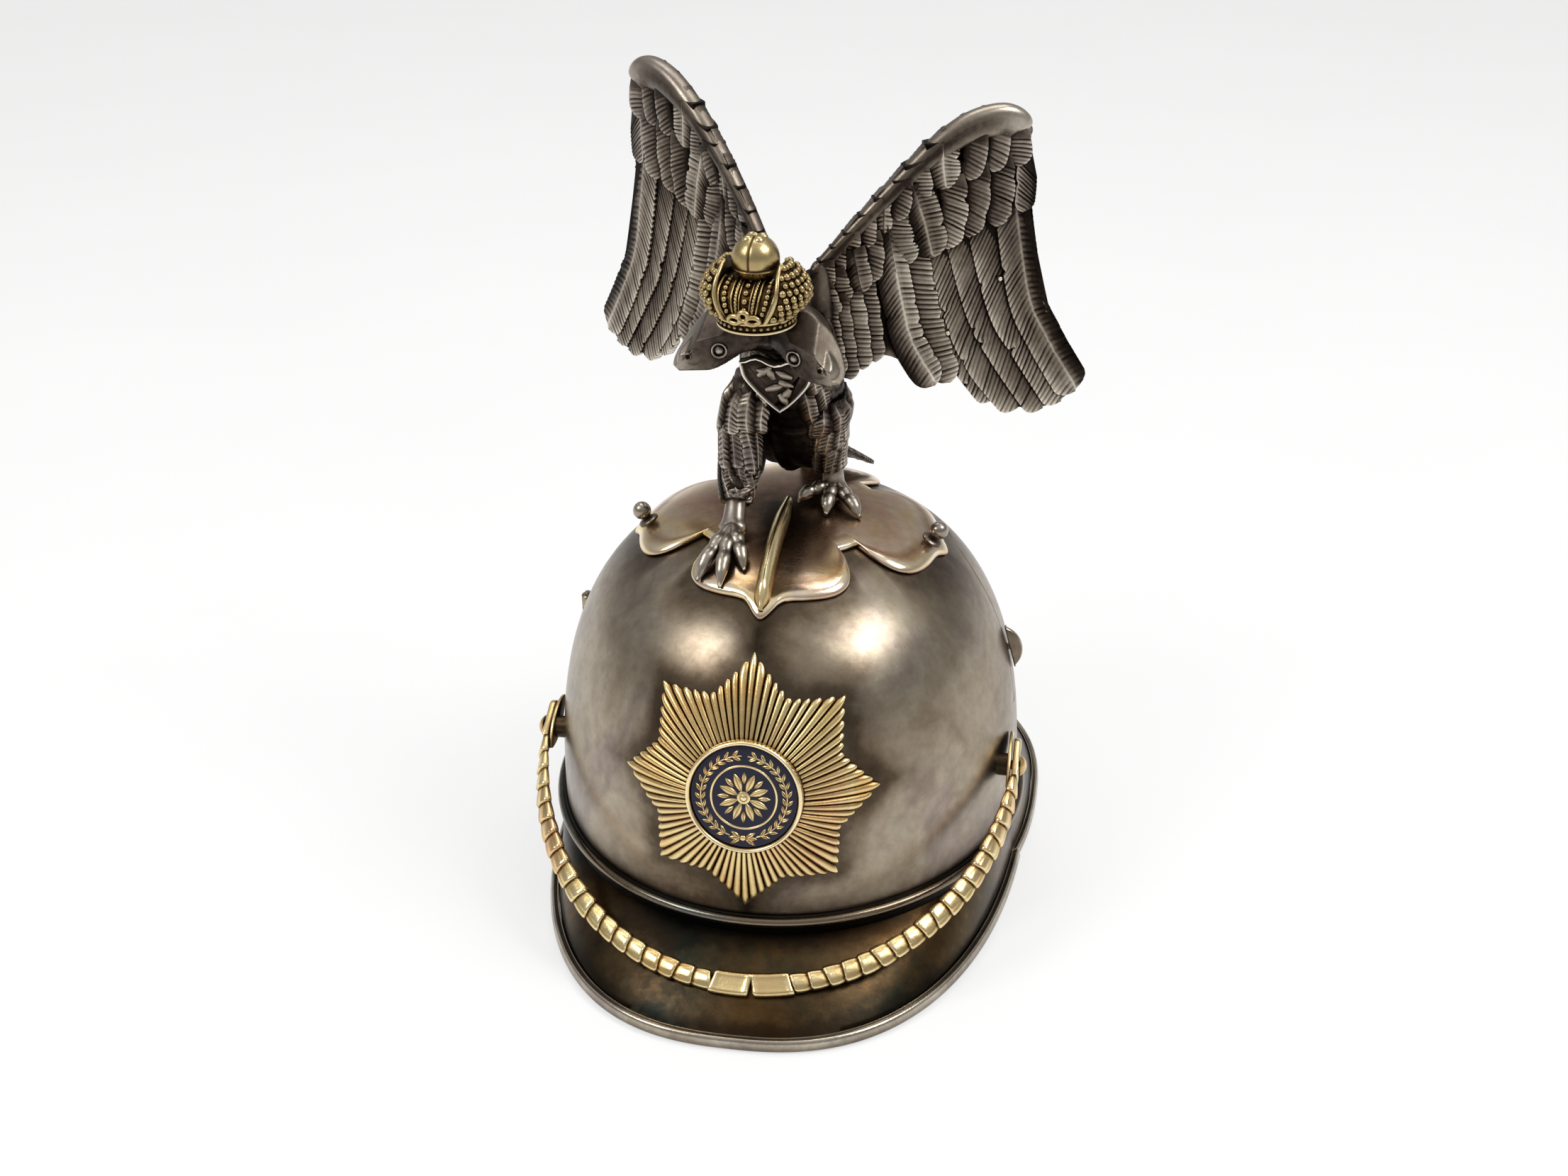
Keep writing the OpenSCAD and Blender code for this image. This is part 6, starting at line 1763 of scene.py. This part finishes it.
def make_crown_band():
    """Band with a row of beads in a groove, and smooth ovals on its front and back"""
    shape = Shape()
    r, back, deep = CROWN_R, CROWN_R - 0.05, CROWN_R - 0.4
    section = [[0, 0], [r - 0.25, 0], [back, 0.08], [r, 0.25], [back, 0.42], [deep, 0.52], [deep, 1.42],
               [r - 0.06, 1.52], [r, 1.7], [r - 0.06, 1.9], [r - 0.25, BAND_H], [0, BAND_H]]
    shape.lathe(section, at_crown, 120, [0.2, 0.4, 0.9, 1, 0.8, 0.1, 0.1, 0.8, 1, 0.9, 0.4, 0.2])
    for a in degrees_round(BAND_BEADS) + 180 / BAND_BEADS:
        add_bead(shape, [(r - 0.32) * cosd(a), (r - 0.32) * sind(a), 0.97], 0.34)
    for turn in (-90, 90):
        for step, up, wide, high in OVALS:
            add_oval(shape, turn + step, up, wide, high)
        for a in (turn - 5.5, turn + 5.5):
            add_bead(shape, [r * cosd(a), r * sind(a), BAND_H + 0.1], 0.3)
    build(shape, "crown_ring", crown_gilt, nodes=("crown_band",), sharp=50)


def cap_side(t, grow):
    """Side of the crown's cap as [out, up], t from 0 at the band to 1 under the orb"""
    a = mix(-CAP_START, 90, t)
    rise = (sind(a) + sind(CAP_START)) / (1 + sind(CAP_START))
    return CAP_INNER + (CAP_DEPTH - CAP_INNER + grow) * cosd(a), CAP_BOTTOM + (CAP_H + grow) * rise


def cap_spread(t):
    """The cap is narrow at the band, widest above its middle and a little narrower under the orb"""
    return mix(0.78, 1.2, np.sin(np.pi / 2 * np.clip(t / 0.6, 0, 1))) - 0.06 * smooth(0.6, 1, t)


def cap_point(x, t, grow, front):
    """Point of the cap at the share x across it: its ribs draw together towards the orb"""
    out, up = cap_side(t, grow)
    deep = front * out * np.sqrt(np.maximum(0.1, 1 - 0.12 * x ** 2))
    return np.stack([x * CAP_HALF * cap_spread(t), deep, up], -1)


def add_rib(shape, points, r, wear_and_shading=0.74, rope=0.0):
    """Rounded rib through points in the crown's frame; rope gives it a twist"""
    points = np.asarray(points, float)
    way = unit(np.gradient(points, axis=0))
    side = unit(np.cross(way, [0.9, 0.1, 0.2]))
    rings = rings_round(0 * points, side * r, np.cross(side, way) * r, 10)
    swell = 1 + rope * np.cos(2 * (turns(10)[None] - 0.75 * np.arange(len(points))[:, None]))
    shape.tube(at_crown(points[:, None] + rings * swell[..., None]), wear_and_shading)


# Ribs of the cap: place across it, radius and twist. Its rows of beads: place, count, radius and end.
RIBS = ((0.98, 0.3, 0), (-0.98, 0.3, 0), (0.48, 0.17, 0), (-0.48, 0.17, 0), (0.32, 0.24, 0.25),
        (-0.32, 0.24, 0.25), (0.2, 0.12, 0), (-0.2, 0.12, 0))
CAP_BEADS = ((0, 6, 0.46, 0.93), (0.74, 9, 0.44, 1.0), (-0.74, 9, 0.44, 1.0))
CAP_ROWS, CAP_COLS = 30, 21


def make_crown_cap():
    """Cap between the two side halves, with ribs and rows of beads over its front and back"""
    t, x = np.linspace(0, 1, CAP_ROWS), np.linspace(-1, 1, CAP_COLS)
    tt, xx = np.meshgrid(np.concatenate([t, t[::-1]]), x, indexing="ij")
    n = 2 * CAP_ROWS
    sheet = cap_point(xx, tt, -0.25, np.where(np.arange(n) < CAP_ROWS, -1, 1)[:, None])
    faces = grid_faces(n, CAP_COLS, close=True)
    faces.append(tuple(i * CAP_COLS for i in range(n)))
    faces.append(tuple(i * CAP_COLS + CAP_COLS - 1 for i in reversed(range(n))))
    shape = Shape()
    shape.add(at_crown(sheet), faces, 0.34)
    for front in (-1, 1):
        for x, r, rope in RIBS:
            add_rib(shape, [cap_point(x, w, 0.0, front) for w in np.linspace(0.02, 1, 60)], r, rope=rope)
        for x, count, big, end in CAP_BEADS:
            for w in np.linspace(0.08, end, count):
                add_bead(shape, cap_point(x, w, -0.05, front), big * (0.78 + 0.3 * math.sin(math.pi * w)))
    build(shape, "crown_centre", crown_gilt, nodes=("crown_cap",), sharp=55)


def mitre_point(s, t, a, grow=0.0):
    """Point of a side half of the crown at the share t of its height and the angle a round it"""
    if t < 0.4:
        out = mix(CROWN_R - 0.2, MITRE_HALF, sind(225 * t))
    else:
        out = mix(CAP_HALF + 1.1, MITRE_HALF, cosd(150 * (t - 0.4)))
    deep = (CAP_DEPTH - 0.1) * math.sqrt(max(0.05, 1 - t ** 2.6)) + grow
    inner = CAP_HALF * float(cap_spread(t)) + SEAT
    wide = max(out, inner + 0.5) - inner + grow
    return np.array([s * (inner + wide * cosd(a)), deep * sind(a), CAP_BOTTOM + MITRE_H * t])


def make_mitres():
    """Side halves of the crown, set with rows of beads between smooth rims"""
    shape = Shape()
    for s in (-1, 1):
        rings = [[mitre_point(s, t, a, -0.25) for a in np.linspace(-90, 90, 31)]
                 for t in np.linspace(0, 1, 26)]
        shape.tube(at_crown(rings), 0.3)
        for front in (-1, 1):
            add_rib(shape, [mitre_point(s, t, front * 86) for t in np.linspace(0, 1, 40)], 0.34, 0.8)
        for k, t in enumerate(np.linspace(0.08, 0.94, 8)):
            count = int(round(mix(10, 6, abs(t - 0.35) / 0.6)))
            for i in range(count):
                a = mix(-76, 76, (i + 0.5 * (k % 2)) / count) + 5
                add_bead(shape, mitre_point(s, t, a, -0.1), rng.uniform(0.48, 0.66))
    build(shape, "crown_sides", crown_gilt, nodes=("crown_mitres",), sharp=55)


def make_orb():
    """Plain ball with an engraved line up its front, a line round it and a small quatrefoil on top"""
    h, a = np.linspace(-90, 90, 60)[:, None], degrees_round(96)[None]
    groove = bump(np.abs((a + 90 + 180) % 360 - 180) * cosd(h), 2.4) * (h > -14)
    belt, rim = bump(h + 16, 2.0), bump(h + 20.5, 2.2)
    r = ORB_R - 0.14 * groove - 0.13 * belt + 0.1 * rim
    ball = np.stack([r * cosd(h) * cosd(a), r * cosd(h) * sind(a), r * sind(h) + ORB_Z], -1)
    shape = Shape()
    shape.tube(at_crown(ball), np.clip(0.7 - 0.6 * groove - 0.6 * belt + 0.2 * rim, 0, 1))
    top = ORB_Z + ORB_R
    for turn in (45, 135, 225, 315):
        add_bead(shape, [1.25 * cosd(turn), 1.25 * sind(turn), top - 0.78], 0.9, 0.75, 18)
    add_bead(shape, [0, 0, top - 0.15], 0.5, 0.8, 14)
    build(shape, "orb", crown_gilt, nodes=("crown_orb",), sharp=60)


# Camera, light and floor

LENS, SENSOR = 45.5, 36
AZIMUTH, ELEVATION, ROLL, CAMERA_FAR = 9.977, 28.207, -0.583, 340.0
LOOK_AT, LAMPS_ROUND = (-1.1, 0, 49.7), (0, 0, 50)
# Lamps: name, direction, distance, width and height, power
LAMPS = (("left box", (-0.57, -0.4, 0.72), 620, (230, 230), 1.15),
         ("right box", (0.62, -0.12, 0.78), 620, (250, 240), 1.55),
         ("top box", (0.0, 0.35, 1.0), 700, (500, 300), 1.2))
SKY = stops((0.0, 222, 221, 220), (0.1, 176, 175, 174), (0.3, 152, 151, 151), (0.7, 190, 189, 188),
            (1.0, 226, 225, 224))
FLOOR_HALF, FLOOR_Z, FLOOR_POINTS, FLOOR_GLOW = 20000, -0.05, 9, 0.6
PAPER = [(0.3, (0.9, 0.9, 0.9, 1)), (0.7, (0.94, 0.94, 0.94, 1))]


def make_camera():
    data = bpy.data.cameras.new("camera")
    data.lens = LENS
    data.sensor_width = SENSOR
    camera = bpy.data.objects.new("camera", data)
    bpy.context.scene.collection.objects.link(camera)
    back = Vector((sind(AZIMUTH) * cosd(ELEVATION), -cosd(AZIMUTH) * cosd(ELEVATION), sind(ELEVATION)))
    camera.matrix_world = Matrix.Translation((Vector(LOOK_AT) + back * CAMERA_FAR) * MM) @ \
        back.to_track_quat("Z", "Y").to_matrix().to_4x4() @ Matrix.Rotation(math.radians(ROLL), 4, "Z")
    bpy.context.scene.camera = camera


def soft_box(name, direction, distance, size, power):
    data = bpy.data.lights.new(name, "AREA")
    data.shape = "RECTANGLE"
    data.size = size[0] * MM
    data.size_y = size[1] * MM
    data.energy = power
    lamp = bpy.data.objects.new(name, data)
    away = Vector(direction).normalized()
    lamp.location = (away * distance + Vector(LAMPS_ROUND)) * MM
    lamp.rotation_euler = away.to_track_quat("Z", "Y").to_euler()
    bpy.context.scene.collection.objects.link(lamp)


def make_world():
    world = bpy.data.worlds.new("studio")
    bpy.context.scene.world = world
    n = Nodes(world)
    way = n.add("ShaderNodeTexCoord").outputs["Generated"]
    height = n.add("ShaderNodeSeparateXYZ", {0: way}).outputs[2]
    sky = n.add("ShaderNodeBackground", {"Color": n.ramp(height, SKY), "Strength": 1.0})
    n.add("ShaderNodeOutputWorld", {"Surface": sky.outputs[0]})


def make_floor():
    """Pale paper that keeps the shadow, and is nearly white where the camera or a reflection sees it"""
    floor = Shape()
    side = np.linspace(-FLOOR_HALF, FLOOR_HALF, FLOOR_POINTS)
    x, y = np.meshgrid(side, side, indexing="ij")
    floor.add(np.stack([x, y, np.full_like(x, FLOOR_Z)], -1), grid_faces(FLOOR_POINTS, FLOOR_POINTS))
    obj = raw_object(floor, "floor")
    material, n, place = new_material("white paper")
    colour = n.ramp(n.noise(place, 9, detail=3), PAPER)
    shader = n.add("ShaderNodeBsdfPrincipled", {"Base Color": colour, "Roughness": 0.75})
    ray = n.add("ShaderNodeLightPath").outputs
    seen = n.math("ADD", ray["Is Camera Ray"], ray["Is Glossy Ray"])
    seen = n.math("ADD", seen, ray["Is Transmission Ray"])
    share = n.math("MULTIPLY", n.math("MINIMUM", seen, 1.0), FLOOR_GLOW)
    glow = n.add("ShaderNodeEmission", {"Color": (1, 1, 1, 1), "Strength": 1.0})
    both = n.add("ShaderNodeMixShader", {0: share, 1: shader.outputs[0], 2: glow.outputs[0]})
    n.add("ShaderNodeOutputMaterial", {"Surface": both.outputs[0]})
    obj.data.materials.append(material)


def paint_nodes():
    """Materials of the frame's own pieces that stay in view"""
    looks = {"base_plate": plain_gilt, "boss_bushes": plain_dark}
    for node in ("hinge_pin", "star_pins", "star_nuts", "ball_stud_nuts", "foot_nuts", "foot_studs"):
        looks[node] = plain_silver
    for node, material in looks.items():
        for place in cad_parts[node].material_slots:
            place.material = material


make_camera()
make_world()
for lamp in LAMPS:
    soft_box(*lamp)
make_floor()
make_skull()
make_thumb_piece()
make_base_band()
make_brim("visor_sheet", VISOR_PLAN, -1, BRIM_SPACE, VISOR_TRIM_W, VISOR_TRIM_H, "visor")
make_brim("neck_sheet", NECK_PLAN, 1, 0, NECK_TRIM_W, NECK_TRIM_H, "neck_guard")
make_trim("visor_edge", VISOR_PLAN, -1, BRIM_SPACE, VISOR_TRIM_W, VISOR_TRIM_H, "visor_trim")
make_trim("neck_edge", NECK_PLAN, 1, 0, NECK_TRIM_W, NECK_TRIM_H, "neck_guard_trim")
make_star()
make_medallion()
make_motif()
make_crest_plate()
make_keel()
make_ball_studs()
make_chin_chain()
make_wing("left", -1)
make_wing("right", 1)
make_eagle_body()
make_tail()
make_shield()
make_crown_band()
make_crown_cap()
make_mitres()
make_orb()
paint_nodes()

bpy.context.scene.view_settings.view_transform = "Standard"
